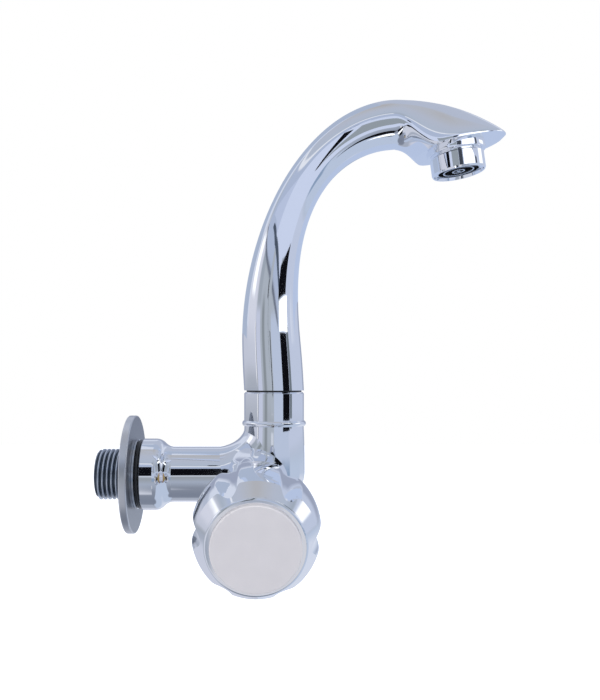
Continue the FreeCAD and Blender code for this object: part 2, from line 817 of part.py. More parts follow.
def make_bonnet_seal():
    """Washer between the boss and the hexagon."""
    outer = boss_diameter - 2 * boss_edge_chamfer
    return on_valve(ring(outer, boss_bore_diameter + 2 * seated_gap, boss_reach, hex_start_reach))


def spline_face(tip_diameter, root_diameter, height):
    """Toothed outline for the spindle's end and the bush's bore."""
    points = []
    step = 2 * math.pi / spline_teeth
    for i in range(spline_teeth):
        middle = step * i
        for radius, lean in ((root_diameter / 2, spline_root_share), (tip_diameter / 2, spline_tip_share)):
            for side in (-1, 1):
                angle = middle + step * (lean[0] + side * lean[1])
                points.append(at(radius * math.cos(angle), radius * math.sin(angle), height))
    points.append(points[0])
    return Part.Face(Part.makePolygon(points))


def make_valve_spindle():
    """Spindle that turns in the bonnet, with a threaded socket, ring grooves and a splined end."""
    flange_r = spindle_flange_diameter / 2
    stem_r = spindle_diameter / 2
    spline_root = spline_diameter - 2 * spline_depth
    shape = turned(
        (0, spindle_start_reach), (flange_r, spindle_start_reach), (flange_r, spindle_shoulder_reach),
        (stem_r, spindle_shoulder_reach), (stem_r, spline_start_reach - corner_break),
        (spline_root / 2, spline_start_reach), (0, spline_start_reach))
    spline = spline_face(spline_diameter, spline_root, spline_start_reach).extrude(at(0, 0, spline_length))
    shape = shape.fuse(spline)
    socket = stem_thread_diameter + 2 * running_gap
    shape = shape.cut(rod(socket, spindle_start_reach, spindle_start_reach + spindle_socket_depth))
    floor = spindle_diameter - 2 * spindle_ring_section + 2 * running_gap
    half = spindle_ring_section / 2 + running_gap
    for height in spindle_ring_heights:
        middle = bonnet_shoulder_reach + height
        shape = shape.cut(ring(spindle_diameter + cut_margin, floor, middle - half, middle + half))
    groove = spindle_diameter - 2 * clip_groove_depth
    clip_end_reach = clip_start_reach + clip_thickness
    shape = shape.cut(ring(spindle_diameter + cut_margin, groove, clip_start_reach, clip_end_reach))
    hole_floor = spline_end_reach - screw_hole_depth
    hole = rod(screw_thread_diameter + 2 * seated_gap, hole_floor, spline_end_reach)
    return on_valve(shape.cut(hole))


def make_thrust_washer():
    """Washer over the spindle's shoulder."""
    low = spindle_shoulder_reach + running_gap
    return on_valve(ring(spindle_flange_diameter - edge_break, spindle_diameter + 4 * running_gap,
                         low, low + thrust_washer_thickness))


def make_spindle_ring(height):
    """O-ring in one of the spindle's grooves."""
    floor = spindle_diameter - 2 * spindle_ring_section + 2 * running_gap
    return on_valve(o_ring(floor, spindle_ring_section - seated_gap, bonnet_shoulder_reach + height))


def make_spindle_clip():
    """Open ring in the spindle's outer groove."""
    inner = spindle_diameter - 2 * clip_groove_depth + 2 * seated_gap
    outer = inner + 2 * clip_width
    low = clip_start_reach + seated_gap
    high = clip_start_reach + clip_thickness - seated_gap
    corner = at(0, -clip_opening / 2, low - clip_thickness / 2)
    gap = Part.makeBox(outer, clip_opening, 2 * clip_thickness, corner)
    return on_valve(ring(outer, inner, low, high).cut(gap))


def make_valve_jumper():
    """Carrier with a pin for the rubber disc, a plate, a six-sided guide and a threaded stem."""
    pin_end = washer_reach - jumper_nut_height
    shape = rod(jumper_pin_diameter, pin_end, plate_reach)
    shape = shape.fuse(rod(jumper_plate_diameter, plate_reach, guide_reach))
    shape = shape.fuse(hex_bar(guide_across, guide_reach, stem_reach))
    stem_r = stem_thread_diameter / 2
    stem = turned((0, stem_reach), (stem_r, stem_reach), (stem_r, stem_end_reach - corner_break),
                  (stem_r - corner_break, stem_end_reach), (0, stem_end_reach))
    return on_valve(shape.fuse(stem))


def make_jumper_washer():
    """Rubber disc that closes on the seat."""
    return on_valve(ring(jumper_washer_diameter, jumper_washer_bore, washer_reach, plate_reach))


def make_jumper_nut():
    """Nut that holds the rubber disc, inside the seat's bore."""
    low = washer_reach - jumper_nut_height
    nut = hex_bar(jumper_nut_across, low, washer_reach)
    return on_valve(nut.cut(rod(jumper_pin_diameter + 2 * seated_gap, low, washer_reach)))


# Knob

def lobed_outline(rim, floor, height):
    """Outline of lobes between round flutes, each corner rolled over with a lip radius."""
    centre = floor + flute_radius
    reach = rim - flute_lip_radius
    joint = flute_radius + flute_lip_radius
    swing = math.acos((reach ** 2 + centre ** 2 - joint ** 2) / (2 * reach * centre))
    pitch = 2 * math.pi / knob_lobes
    turned_by = math.radians(knob_turned_deg)

    def polar(radius, angle):
        return at(radius * math.cos(angle), radius * math.sin(angle), height)

    def towards(start, goal, radius):
        way = goal.sub(start)
        way.normalize()
        return start.add(way.multiply(radius))

    edges = []
    for i in range(knob_lobes):
        valley = turned_by + i * pitch
        flute_middle = polar(centre, valley)
        first, second = polar(reach, valley - swing), polar(reach, valley + swing)
        lip_in = towards(flute_middle, first, flute_radius)
        lip_out = towards(flute_middle, second, flute_radius)
        rim_in, rim_out = polar(rim, valley - swing), polar(rim, valley + swing)
        bulge_in = lip_bulge(first, rim_in, lip_in, flute_lip_radius)
        bulge_out = lip_bulge(second, rim_out, lip_out, flute_lip_radius)
        edges.append(Part.Arc(rim_in, bulge_in, lip_in).toShape())
        edges.append(Part.Arc(lip_in, polar(floor, valley), lip_out).toShape())
        edges.append(Part.Arc(lip_out, bulge_out, rim_out).toShape())
        edges.append(Part.Arc(rim_out, polar(rim, valley + pitch / 2),
                              polar(rim, valley + pitch - swing)).toShape())
    return Part.Wire(edges)


def lip_bulge(middle, one, other, radius):
    """Point halfway round the small arc between two points on a circle."""
    way = one.add(other).multiply(0.5).sub(middle)
    way.normalize()
    return middle.add(way.multiply(radius))


def barrel(middle_radius, curve_radius, reach):
    """Radius of a barrel-shaped profile at a reach along the valve axis."""
    away = reach - knob_belly_reach
    return middle_radius - away * away / (2 * curve_radius)


def knob_body():
    """Barrel with rolled lobes, cut by the bevel that runs up to the bead."""
    outlines = []
    for i in range(knob_sections + 1):
        reach = knob_rear_reach + (knob_face_reach - knob_rear_reach) * i / knob_sections
        curve = knob_rear_curve if reach < knob_belly_reach else knob_front_curve
        rim = barrel(knob_belly_radius, curve, reach)
        floor = barrel(knob_valley_radius, knob_valley_curve, reach)
        outlines.append(lobed_outline(rim, min(floor, rim - knob_least_flute), reach))
    slope = (knob_shoulder_radius - knob_bead_radius) / knob_bevel_length
    wide = 2 * knob_belly_radius
    diagonal = math.sqrt(0.5)
    bead_bulge = (knob_face_radius + diagonal * (knob_bead_radius - knob_face_radius),
                  knob_bead_reach + diagonal * knob_bead_height)
    bevel = turned((0, 0), (wide, 0), (wide, knob_bead_reach - (wide - knob_bead_radius) / slope),
                   (knob_bead_radius, knob_bead_reach), (bead_bulge, (knob_face_radius, knob_face_reach)),
                   (0, knob_face_reach))
    return Part.makeLoft(outlines, True).common(bevel)


def make_knob_shell():
    """Hollow knob with rolled lobes, a bevelled front, a hub and a recess for the cap."""
    hub_r = knob_hub_diameter / 2
    corner = knob_cavity_corner
    cavity = turned(
        (hub_r, knob_rear_reach - cut_margin), (knob_cavity_radius, knob_rear_reach - cut_margin),
        (knob_cavity_radius, knob_cavity_reach - corner), (knob_cavity_radius - corner, knob_cavity_reach),
        (hub_r, knob_cavity_reach))
    shape = knob_body().cut(cavity)
    shape = shape.fuse(rod(knob_hub_diameter, knob_hub_rear_reach, knob_rear_reach + cut_margin))
    front = knob_face_reach + cut_margin
    pocket = rod(knob_screw_pocket_diameter, cap_disc_reach - cap_plug_length - edge_break, front)
    recess = rod(2 * (cap_radius + seated_gap), cap_seat_reach, front)
    well = rod(screw_head_diameter + cut_margin, screw_floor_reach, front)
    bush_hole = rod(bush_diameter() + 2 * seated_gap, knob_hub_rear_reach, screw_floor_reach)
    return on_valve(shape.cut(pocket).cut(recess).cut(well).cut(bush_hole))


def bush_diameter():
    """Outer diameter of the splined bush."""
    return spline_diameter + 2 * bush_wall


def make_knob_bush():
    """Splined bush in the knob's hub."""
    low = max(knob_hub_rear_reach, spline_start_reach)
    grow = 2 * seated_gap
    bore = spline_face(spline_diameter + grow, spline_diameter - 2 * spline_depth + grow, low)
    body = rod(bush_diameter(), low, screw_floor_reach)
    body = body.cut(bore.extrude(at(0, 0, spline_end_reach - low)))
    hole = rod(screw_thread_diameter + 2 * edge_break, spline_end_reach, screw_floor_reach)
    return on_valve(body.cut(hole))


def make_knob_screw():
    """Slotted screw that holds the knob to the spindle."""
    head_r = screw_head_diameter / 2
    thread_r = screw_thread_diameter / 2
    seat = screw_floor_reach + seated_gap
    top = seat + screw_head_height
    tip = spline_end_reach - screw_length
    screw = turned(
        (0, tip), (thread_r - corner_break, tip), (thread_r, tip + corner_break), (thread_r, seat),
        (head_r, seat), (head_r, seat + screw_head_height / 2),
        ((head_r * screw_crown_place, top - screw_crown_drop), (0, top)))
    slot = Part.makeBox(2 * screw_head_diameter, screw_slot_width, screw_slot_depth + cut_margin,
                        at(-screw_head_diameter, -screw_slot_width / 2, top - screw_slot_depth))
    return on_valve(screw.cut(slot))


def make_knob_cap():
    """Satin disc with a thin plug that snaps into the knob's front."""
    soft = cap_edge_round
    near = soft * (1 - math.sqrt(0.5))
    plug_r = knob_screw_pocket_diameter / 2 - seated_gap
    plug_end = cap_disc_reach - cap_plug_length
    cap = turned(
        (0, cap_reach), (cap_radius - soft, cap_reach),
        ((cap_radius - near, cap_reach - near), (cap_radius, cap_reach - soft)),
        (cap_radius, cap_disc_reach), (plug_r, cap_disc_reach), (plug_r, plug_end),
        (plug_r - cap_plug_wall, plug_end), (plug_r - cap_plug_wall, cap_disc_reach), (0, cap_disc_reach))
    return on_valve(cap)


def make_knob_cap_ring():
    """Dark ring under the cap's edge."""
    outer = 2 * (cap_radius - cap_ring_inset)
    inner = knob_screw_pocket_diameter + 2 * seated_gap
    return on_valve(ring(outer, inner, cap_seat_reach, cap_seat_reach + cap_ring_height))


NODES = {
    "tap_body": make_tap_body,
    "wall_flange": make_wall_flange,
    "flange_seal": make_flange_seal,
    "swivel_collar": make_swivel_collar,
    "slip_washer": make_slip_washer,
    "swivel_nipple": make_swivel_nipple,
    "swivel_ring_upper": lambda: make_swivel_ring(swivel_ring_depths[0]),
    "swivel_ring_lower": lambda: make_swivel_ring(swivel_ring_depths[1]),
    "retaining_ring": make_retaining_ring,
    "spout": make_spout,
    "aerator_housing": make_aerator_housing,
    "aerator_seal": make_aerator_seal,
    "aerator_grille": make_aerator_grille,
    "aerator_cage": make_aerator_cage,
    "aerator_screens": make_aerator_screens,
    "valve_bonnet": make_valve_bonnet,
    "bonnet_seal": make_bonnet_seal,
    "valve_spindle": make_valve_spindle,
    "thrust_washer": make_thrust_washer,
    "spindle_ring_lower": lambda: make_spindle_ring(spindle_ring_heights[0]),
    "spindle_ring_upper": lambda: make_spindle_ring(spindle_ring_heights[1]),
    "spindle_clip": make_spindle_clip,
    "valve_jumper": make_valve_jumper,
    "jumper_washer": make_jumper_washer,
    "jumper_nut": make_jumper_nut,
    "knob_shell": make_knob_shell,
    "knob_bush": make_knob_bush,
    "knob_screw": make_knob_screw,
    "knob_cap": make_knob_cap,
    "knob_cap_ring": make_knob_cap_ring,
}

for node, make in NODES.items():
    make().exportStep("parts/" + node + ".step")
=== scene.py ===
"""Wall-mounted sink tap with a lobed knob and a swivelling curved spout, dressed for a studio picture."""

import json
import logging
import math
from dataclasses import dataclass, field
from enum import Enum
from typing import Any, Sequence, Union

import bmesh
import bpy
from mathutils import Matrix, Vector

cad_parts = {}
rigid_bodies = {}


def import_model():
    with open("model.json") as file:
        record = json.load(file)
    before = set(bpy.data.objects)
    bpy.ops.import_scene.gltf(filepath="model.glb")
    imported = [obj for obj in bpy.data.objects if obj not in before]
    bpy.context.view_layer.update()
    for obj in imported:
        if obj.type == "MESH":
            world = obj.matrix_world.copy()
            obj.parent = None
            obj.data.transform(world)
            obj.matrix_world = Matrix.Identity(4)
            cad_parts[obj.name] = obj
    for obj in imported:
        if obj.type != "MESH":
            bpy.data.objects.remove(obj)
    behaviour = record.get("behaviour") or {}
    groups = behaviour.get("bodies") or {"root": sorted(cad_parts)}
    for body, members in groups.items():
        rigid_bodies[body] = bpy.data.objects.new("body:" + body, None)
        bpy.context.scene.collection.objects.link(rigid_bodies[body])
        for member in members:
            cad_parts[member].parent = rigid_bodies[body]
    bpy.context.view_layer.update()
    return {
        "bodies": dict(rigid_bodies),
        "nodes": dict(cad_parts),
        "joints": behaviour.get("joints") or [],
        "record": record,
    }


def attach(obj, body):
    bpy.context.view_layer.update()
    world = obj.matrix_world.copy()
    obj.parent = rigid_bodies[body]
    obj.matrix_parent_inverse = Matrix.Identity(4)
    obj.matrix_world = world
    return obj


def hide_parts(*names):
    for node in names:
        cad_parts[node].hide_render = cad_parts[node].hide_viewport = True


LOG = logging.getLogger("sink_tap")
MM = 0.001

Colour = tuple[float, float, float]
Point = tuple[float, float, float]
Spot = tuple[float, float]
Number = Union[int, float]
Value = Union["Socket", int, float]


class Body(Enum):
    """Bodies of the tap that the pieces made here ride on."""

    FIXED = "body"
    SPOUT = "swivel_spout"


class Slot(Enum):
    """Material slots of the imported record."""

    CHROME = "chrome"
    SATIN_METAL = "satin_metal"
    CAP_SATIN = "cap_satin"
    BRASS = "brass"
    STEEL = "steel"
    RUBBER = "rubber"
    FIBRE = "fibre"
    DARK_PLASTIC = "dark_plastic"
    GREY_PLASTIC = "grey_plastic"


class Socket:
    """Output socket of a shader node, with arithmetic that adds Math nodes."""

    def __init__(self, book: "NodeBook", socket: bpy.types.NodeSocket) -> None:
        """Wraps an output socket of the tree that a book fills."""
        self.book = book
        self.socket = socket

    def _math(self, operation: str, *values: Value) -> "Socket":
        """Adds one Math node.

        Args:
            operation: the node's operation.
            values: sockets or numbers for its inputs.

        Returns:
            The node's output.
        """
        inputs = {index: value for index, value in enumerate(values)}
        return self.book.node("ShaderNodeMath", {"operation": operation}, inputs)

    def __add__(self, other: Value) -> "Socket":
        """Sum."""
        return self._math("ADD", self, other)

    def __radd__(self, other: Number) -> "Socket":
        """Sum with a number on the left."""
        return self._math("ADD", other, self)

    def __sub__(self, other: Value) -> "Socket":
        """Difference."""
        return self._math("SUBTRACT", self, other)

    def __rsub__(self, other: Number) -> "Socket":
        """Difference from a number on the left."""
        return self._math("SUBTRACT", other, self)

    def __mul__(self, other: Value) -> "Socket":
        """Product."""
        return self._math("MULTIPLY", self, other)

    def __rmul__(self, other: Number) -> "Socket":
        """Product with a number on the left."""
        return self._math("MULTIPLY", other, self)

    def __truediv__(self, other: Value) -> "Socket":
        """Quotient."""
        return self._math("DIVIDE", self, other)

    def __rtruediv__(self, other: Number) -> "Socket":
        """Quotient of a number on the left."""
        return self._math("DIVIDE", other, self)

    def __neg__(self) -> "Socket":
        """Opposite."""
        return self._math("MULTIPLY", self, -1.0)

    def root(self) -> "Socket":
        """Square root."""
        return self._math("SQRT", self)

    def sine(self) -> "Socket":
        """Sine of an angle in radians."""
        return self._math("SINE", self)

    def angle_to(self, other: "Socket") -> "Socket":
        """Angle in degrees whose tangent is this value over another, all the way round."""
        return self._math("ARCTAN2", self, other) * math.degrees(1.0)

    def arcsine(self) -> "Socket":
        """Angle in degrees whose sine is this value."""
        return self._math("ARCSINE", self) * math.degrees(1.0)

    def eased(self, low: Number, high: Number) -> "Socket":
        """Smooth step from 0 to 1.

        Args:
            low: value at which the step starts.
            high: value at which it ends.

        Returns:
            The step, from 0 to 1.
        """
        settings = {"interpolation_type": "SMOOTHSTEP"}
        inputs = {"Value": self, "From Min": low, "From Max": high}
        return self.book.node("ShaderNodeMapRange", settings, inputs)

    def between(self, low: Number, high: Number, soft: Number) -> "Socket":
        """Mask of 1 between two values, with soft sides.

        Args:
            low: lower side.
            high: upper side.
            soft: width of each side.

        Returns:
            The mask, from 0 to 1.
        """
        half = soft / 2
        return self.eased(low - half, low + half) * (1 - self.eased(high - half, high + half))


class NodeBook:
    """Adds nodes to one shader tree."""

    def __init__(self, tree: bpy.types.NodeTree) -> None:
        """Empties the node tree of a material or a world."""
        self.tree = tree
        tree.nodes.clear()

    def node(self, kind: str, settings: dict[str, Any] | None = None,
             inputs: dict[Union[str, int], Any] | None = None, output: Union[str, int] = 0) -> Socket:
        """Adds one node.

        Args:
            kind: the node's type.
            settings: the node's properties, set before its sockets.
            inputs: socket names or indices, with values or links.
            output: name or index of the output to return.

        Returns:
            The chosen output, or the node's first one.
        """
        made = self.tree.nodes.new(kind)
        for name, value in (settings or {}).items():
            if name == "stops":
                self._set_stops(made, value)
            else:
                setattr(made, name, value)
        for name, value in (inputs or {}).items():
            if isinstance(value, Socket):
                self.tree.links.new(value.socket, made.inputs[name])
            else:
                made.inputs[name].default_value = value
        if not made.outputs:
            return Socket(self, None)
        return Socket(self, made.outputs[output])

    @staticmethod
    def _set_stops(ramp: bpy.types.ShaderNodeValToRGB, stops: Sequence[tuple[float, Colour]]) -> None:
        """Writes a colour ramp's stops.

        Args:
            ramp: the ramp node.
            stops: places from 0 to 1, with colours.
        """
        elements = ramp.color_ramp.elements
        while len(elements) > 1:
            elements.remove(elements[-1])
        for index, (place, colour) in enumerate(stops):
            element = elements[0] if index == 0 else elements.new(place)
            element.position = place
            element.color = (*colour, 1.0)

    def blend(self, share: Value, one: Union[Socket, Colour], other: Union[Socket, Colour]) -> Socket:
        """Mixes two colours.

        Args:
            share: how much of the other colour.
            one: the first colour.
            other: the other colour.

        Returns:
            The mixed colour.
        """
        inputs = {0: share}
        # The node's colour sockets are its inputs 6 and 7 and its output 2.
        for index, value in ((6, one), (7, other)):
            inputs[index] = value if isinstance(value, Socket) else (*value, 1.0)
        return self.node("ShaderNodeMix", {"data_type": "RGBA"}, inputs, 2)

    def noise(self, where: Socket, scale: float, detail: float = 3.0, rough: float = 0.5) -> Socket:
        """Soft noise from 0 to 1.

        Args:
            where: texture coordinates.
            scale: waves per metre.
            detail: number of finer layers.
            rough: strength of the finer layers.

        Returns:
            The noise value.
        """
        inputs = {"Vector": where, "Scale": scale, "Detail": detail, "Roughness": rough}
        return self.node("ShaderNodeTexNoise", {}, inputs)

    def place(self) -> Socket:
        """Place on the object, in metres."""
        return self.node("ShaderNodeTexCoord", {}, {}, "Object")

    def parts(self, where: Socket) -> tuple[Socket, Socket, Socket]:
        """Takes a vector apart.

        Args:
            where: the vector.

        Returns:
            Its X, Y and Z.
        """
        x = self.node("ShaderNodeSeparateXYZ", {}, {"Vector": where})
        outputs = x.socket.node.outputs
        return x, Socket(self, outputs[1]), Socket(self, outputs[2])

    def from_axis(self, where: Socket) -> Socket:
        """Distance of a place from the inlet's axis.

        Args:
            where: place on the object.

        Returns:
            The distance, in metres.
        """
        _, y, z = self.parts(where)
        return (y * y + z * z).root()

    def bump(self, height: Socket, depth: float) -> Socket:
        """Normal of a surface with small relief.

        Args:
            height: relief from 0 to 1.
            depth: height of a full step, in metres.

        Returns:
            The normal.
        """
        return self.node("ShaderNodeBump", {}, {"Height": height, "Distance": depth, "Strength": 1.0})

    def surface(self, **inputs: Any) -> None:
        """Adds the main shader and the output.

        Args:
            inputs: values or links of the shader's sockets, with low lines for spaces.
        """
        named = {name.replace("_", " "): value for name, value in inputs.items()}
        shader = self.node("ShaderNodeBsdfPrincipled", {}, named)
        self.node("ShaderNodeOutputMaterial", {}, {"Surface": shader})


@dataclass(frozen=True)
class Finish:
    """Base of the finishes: a named material that knows how to build its nodes."""

    name: str

    def nodes(self, book: NodeBook) -> None:
        """Adds the finish's nodes.

        Args:
            book: helper of the material's tree.
        """
        raise NotImplementedError

    def material(self) -> bpy.types.Material:
        """Finds the material of this finish, or makes it on first use.

        Returns:
            The material.
        """
        found = bpy.data.materials.get(self.name)
        if found is not None:
            return found
        made = bpy.data.materials.new(self.name)
        made.use_nodes = True
        self.nodes(NodeBook(made.node_tree))
        return made


@dataclass(frozen=True)
class Chrome(Finish):
    """Polished chrome plate, with a faint haze and the softest waviness."""

    tint: Colour = (0.93, 0.94, 0.965)
    dimming: float = 0.97
    shine: float = 0.035
    haze: float = 0.02
    haze_scale: float = 90.0
    wave_scale: float = 60.0
    wave_depth: float = 0.000004

    def nodes(self, book: NodeBook) -> None:
        """Adds the plate's nodes.

        Args:
            book: helper of the material's tree.
        """
        where = book.place()
        cloud = book.noise(where, self.haze_scale, detail=4.0)
        wave = book.noise(where, self.wave_scale, detail=1.0)
        darker = tuple(self.dimming * channel for channel in self.tint)
        book.surface(
            Base_Color=book.blend(cloud, self.tint, darker),
            Metallic=1.0,
            Roughness=self.shine + cloud * self.haze,
            Normal=book.bump(wave, self.wave_depth),
        )


@dataclass(frozen=True)
class SatinMetal(Finish):
    """Metal with a fine satin grain and soft clouds."""

    tint: Colour = (0.62, 0.64, 0.67)
    dimming: float = 0.90
    metal: float = 1.0
    shine: float = 0.30
    spread: float = 0.10
    grain_scale: float = 1500.0
    grain_depth: float = 0.000006
    grains_in_cloud: float = 20.0

    def nodes(self, book: NodeBook) -> None:
        """Adds the satin's nodes.

        Args:
            book: helper of the material's tree.
        """
        where = book.place()
        grain = book.noise(where, self.grain_scale, detail=2.0, rough=0.6)
        cloud = book.noise(where, self.grain_scale / self.grains_in_cloud)
        darker = tuple(self.dimming * channel for channel in self.tint)
        book.surface(
            Base_Color=book.blend(cloud, self.tint, darker),
            Metallic=self.metal,
            Roughness=self.shine + grain * self.spread,
            Normal=book.bump(grain, self.grain_depth),
        )


@dataclass(frozen=True)
class Moulded(Finish):
    """Rubber, plastic or pressed fibre with a fine skin."""

    tint: Colour = (0.03, 0.03, 0.03)
    lightening: float = 1.4
    shine: float = 0.5
    spread: float = 0.2
    grain_scale: float = 900.0
    grain_depth: float = 0.00001

    def nodes(self, book: NodeBook) -> None:
        """Adds the skin's nodes.

        Args:
            book: helper of the material's tree.
        """
        grain = book.noise(book.place(), self.grain_scale)
        lighter = tuple(self.lightening * channel for channel in self.tint)
        book.surface(
            Base_Color=book.blend(grain, self.tint, lighter),
            Roughness=self.shine + grain * self.spread,
            Normal=book.bump(grain, self.grain_depth),
        )


@dataclass(frozen=True)
class ThreadSteel(Finish):
    """Bright crests and grooves darkened by painted shade, on a cut thread, by distance from the thread's
    axis.
    """

    crest: Colour = (0.62, 0.66, 0.72)
    # Dark colour of the grooves: painted shade, where the recess lies in shadow.
    groove_shade: Colour = (0.10, 0.12, 0.145)
    groove_radius: float = 9.45 * MM
    crest_radius: float = 10.15 * MM
    shine: float = 0.16
    haze: float = 0.12
    haze_scale: float = 400.0

    def nodes(self, book: NodeBook) -> None:
        """Adds the thread's nodes.

        Args:
            book: helper of the material's tree.
        """
        where = book.place()
        # Blends from the painted groove shade to the crest colour by distance from the axis.
        height = book.from_axis(where).eased(self.groove_radius, self.crest_radius)
        cloud = book.noise(where, self.haze_scale)
        book.surface(
            Base_Color=book.blend(height, self.groove_shade, self.crest),
            Metallic=1.0,
            Roughness=self.shine + cloud * self.haze,
        )


@dataclass(frozen=True)
class TurnedDisc(Finish):
    """Turned satin disc: fine rings on its dark face and a rim painted brighter as a painted highlight, by
    distance from its axis.
    """

    face: Colour = (0.34, 0.35, 0.37)
    # Rim colour: a painted highlight on the disc's edge.
    rim: Colour = (0.70, 0.70, 0.71)
    rim_start: float = 23.7 * MM
    rim_end: float = 24.1 * MM
    ring_spacing: float = 0.35 * MM
    ring_depth: float = 0.000008
    shine: float = 0.26
    spread: float = 0.10
    grain_scale: float = 1200.0

    def nodes(self, book: NodeBook) -> None:
        """Adds the disc's nodes.

        Args:
            book: helper of the material's tree.
        """
        where = book.place()
        radius = book.from_axis(where)
        rings = (radius * (math.tau / self.ring_spacing)).sine()
        grain = book.noise(where, self.grain_scale, detail=2.0)
        # The brighter colour near the edge is a painted highlight.
        book.surface(
            Base_Color=book.blend(radius.eased(self.rim_start, self.rim_end), self.face, self.rim),
            Metallic=1.0,
            Roughness=self.shine + grain * self.spread,
            Normal=book.bump((rings + grain) / 2, self.ring_depth),
        )


@dataclass(frozen=True)
class RingGrille(Finish):
    """Dark plastic grille whose ring tops carry a painted highlight, by height along the aerator's axis.
    """

    deep: Colour = (0.012, 0.013, 0.015)
    # Colour and metal of the ring tops: a painted highlight over the dark plastic.
    top: Colour = (0.62, 0.68, 0.76)
    top_metal: float = 0.8
    tilt: float = 8.0
    deep_level: float = -105.95 * MM
    top_level: float = -105.6 * MM
    shine: float = 0.30
    spread: float = 0.1
    grain_scale: float = 900.0

    def nodes(self, book: NodeBook) -> None:
        """Adds the grille's nodes.

        Args:
            book: helper of the material's tree.
        """
        where = book.place()
        x, _, z = book.parts(where)
        tilt = math.radians(self.tilt)
        level = x * math.sin(tilt) - z * math.cos(tilt)
        # Mask of the ring tops, where the painted highlight lies.
        top_highlight = level.eased(self.deep_level, self.top_level)
        grain = book.noise(where, self.grain_scale, detail=2.0)
        book.surface(
            Base_Color=book.blend(top_highlight, self.deep, self.top),
            Metallic=top_highlight * self.top_metal,
            Roughness=self.shine + grain * self.spread,
        )


CHROME = Chrome("chrome_plate")
THREAD = ThreadSteel("thread_steel")
DISC = TurnedDisc("turned_disc")
GRILLE = RingGrille("ring_grille")
SEAL = Moulded("glossy_rubber", tint=(0.010, 0.010, 0.011), shine=0.16, spread=0.08)
CAP = SatinMetal("satin_cap", tint=(0.89, 0.83, 0.80), shine=0.42, grain_scale=2500.0, metal=0.25)

FINISH_OF_SLOT: dict[Slot, Finish] = {
    Slot.CHROME: CHROME,
    Slot.SATIN_METAL: SatinMetal("satin_steel"),
    Slot.CAP_SATIN: CAP,
    Slot.BRASS: SatinMetal("turned_brass", tint=(0.72, 0.53, 0.22), shine=0.28),
    Slot.STEEL: SatinMetal("stainless_steel", tint=(0.55, 0.56, 0.58), shine=0.25),
    Slot.RUBBER: Moulded("black_rubber"),
    Slot.FIBRE: Moulded("red_fibre", tint=(0.32, 0.07, 0.04), shine=0.75),
    Slot.DARK_PLASTIC: Moulded("dark_acetal", tint=(0.02, 0.02, 0.022), shine=0.35, spread=0.1),
    Slot.GREY_PLASTIC: Moulded("grey_acetal", tint=(0.05, 0.055, 0.06), shine=0.35, spread=0.1),
}


@dataclass(frozen=True)
class Card:
    """Card, flag or softbox of the room, by the direction in which the tap sees it, in degrees.

    Left and right count round the upright from the camera, low and high from the horizon. A slope tilts
    the card's upper and lower edge, in degrees of rise for each degree round.
    """

    left: float
    right: float
    low: float
    high: float
    colour: Colour
    soft: float = 1.5
    slope: float = 0.0

    def pinned(self, book: NodeBook, colour: Socket, turn: Socket, rise: Socket) -> Socket:
        """Lays the card over the room's colour.

        Args:
            book: helper of the world's tree.
            colour: the room behind the card.
            turn: direction round the upright, 0 towards the camera.
            rise: direction above the horizon.

        Returns:
            The room with the card.
        """
        level = rise - (turn - self.left) * self.slope if self.slope else rise
        across = turn.between(self.left, self.right, self.soft)
        return book.blend(across * level.between(self.low, self.high, self.soft), colour, self.colour)


@dataclass(frozen=True)
class Flag:
    """Upright card that stands close to the tap and shows only in mirrors.

    It is a chord of a circle round an upright axis, from its left to its right direction in degrees, 0
    towards the camera. Heights, distance and the axis are in millimetres. Its left end may start and end
    higher than its right end.
    """

    name: str
    left: float
    right: float
    low: float
    high: float
    colour: Colour
    distance: float = 80.0
    middle_x: float = 60.1
    low_lift: float = 0.0
    high_lift: float = 0.0

    def corners(self) -> list[Point]:
        """Works out the card's corners, from its lower left one towards the right.

        Returns:
            The corners, in metres.
        """
        ends = []
        for turn in (math.radians(self.left), math.radians(self.right)):
            x = self.middle_x + self.distance * math.sin(turn)
            ends.append((x * MM, -self.distance * math.cos(turn) * MM))
        left, right = ends
        left_low = (self.low + self.low_lift) * MM
        left_high = (self.high + self.high_lift) * MM
        return [(*left, left_low), (*right, self.low * MM), (*right, self.high * MM), (*left, left_high)]

    def stand(self) -> None:
        mesh = bpy.data.meshes.new(self.name)
        mesh.from_pydata(self.corners(), [], [(0, 1, 2, 3)])
        card = bpy.data.objects.new(self.name, mesh)
        bpy.context.collection.objects.link(card)
        for ray in ("camera", "diffuse", "shadow", "transmission", "volume_scatter"):
            setattr(card, f"visible_{ray}", False)
        material = bpy.data.materials.new(self.name)
        material.use_nodes = True
        book = NodeBook(material.node_tree)
        light = book.node("ShaderNodeEmission", {}, {"Color": (*self.colour, 1.0), "Strength": 1.0})
        book.node("ShaderNodeOutputMaterial", {}, {"Surface": light})
        mesh.materials.append(material)


@dataclass(frozen=True)
class Lamp:
    """Large soft lamp, hidden from mirrors and aimed at the tap, in metres and watts."""

    name: str
    place: Point
    power: float
    size: float = 0.9
    target: Point = (0.06, 0.0, 0.05)

    def hang(self) -> None:
        """Hangs the lamp."""
        data = bpy.data.lights.new(self.name, "AREA")
        data.shape = "SQUARE"
        data.size = self.size
        data.energy = self.power
        lamp = bpy.data.objects.new(self.name, data)
        lamp.location = self.place
        aim = Vector(self.target) - Vector(self.place)
        lamp.rotation_euler = aim.to_track_quat("-Z", "Y").to_euler()
        lamp.visible_glossy = False
        bpy.context.collection.objects.link(lamp)


LAMPS = (
    Lamp("key_lamp", (0.5, -0.9, 1.1), 9.0),
    Lamp("fill_lamp", (-0.9, -0.7, 0.5), 4.0),
    Lamp("back_lamp", (0.1, 0.9, 0.9), 4.0),
)

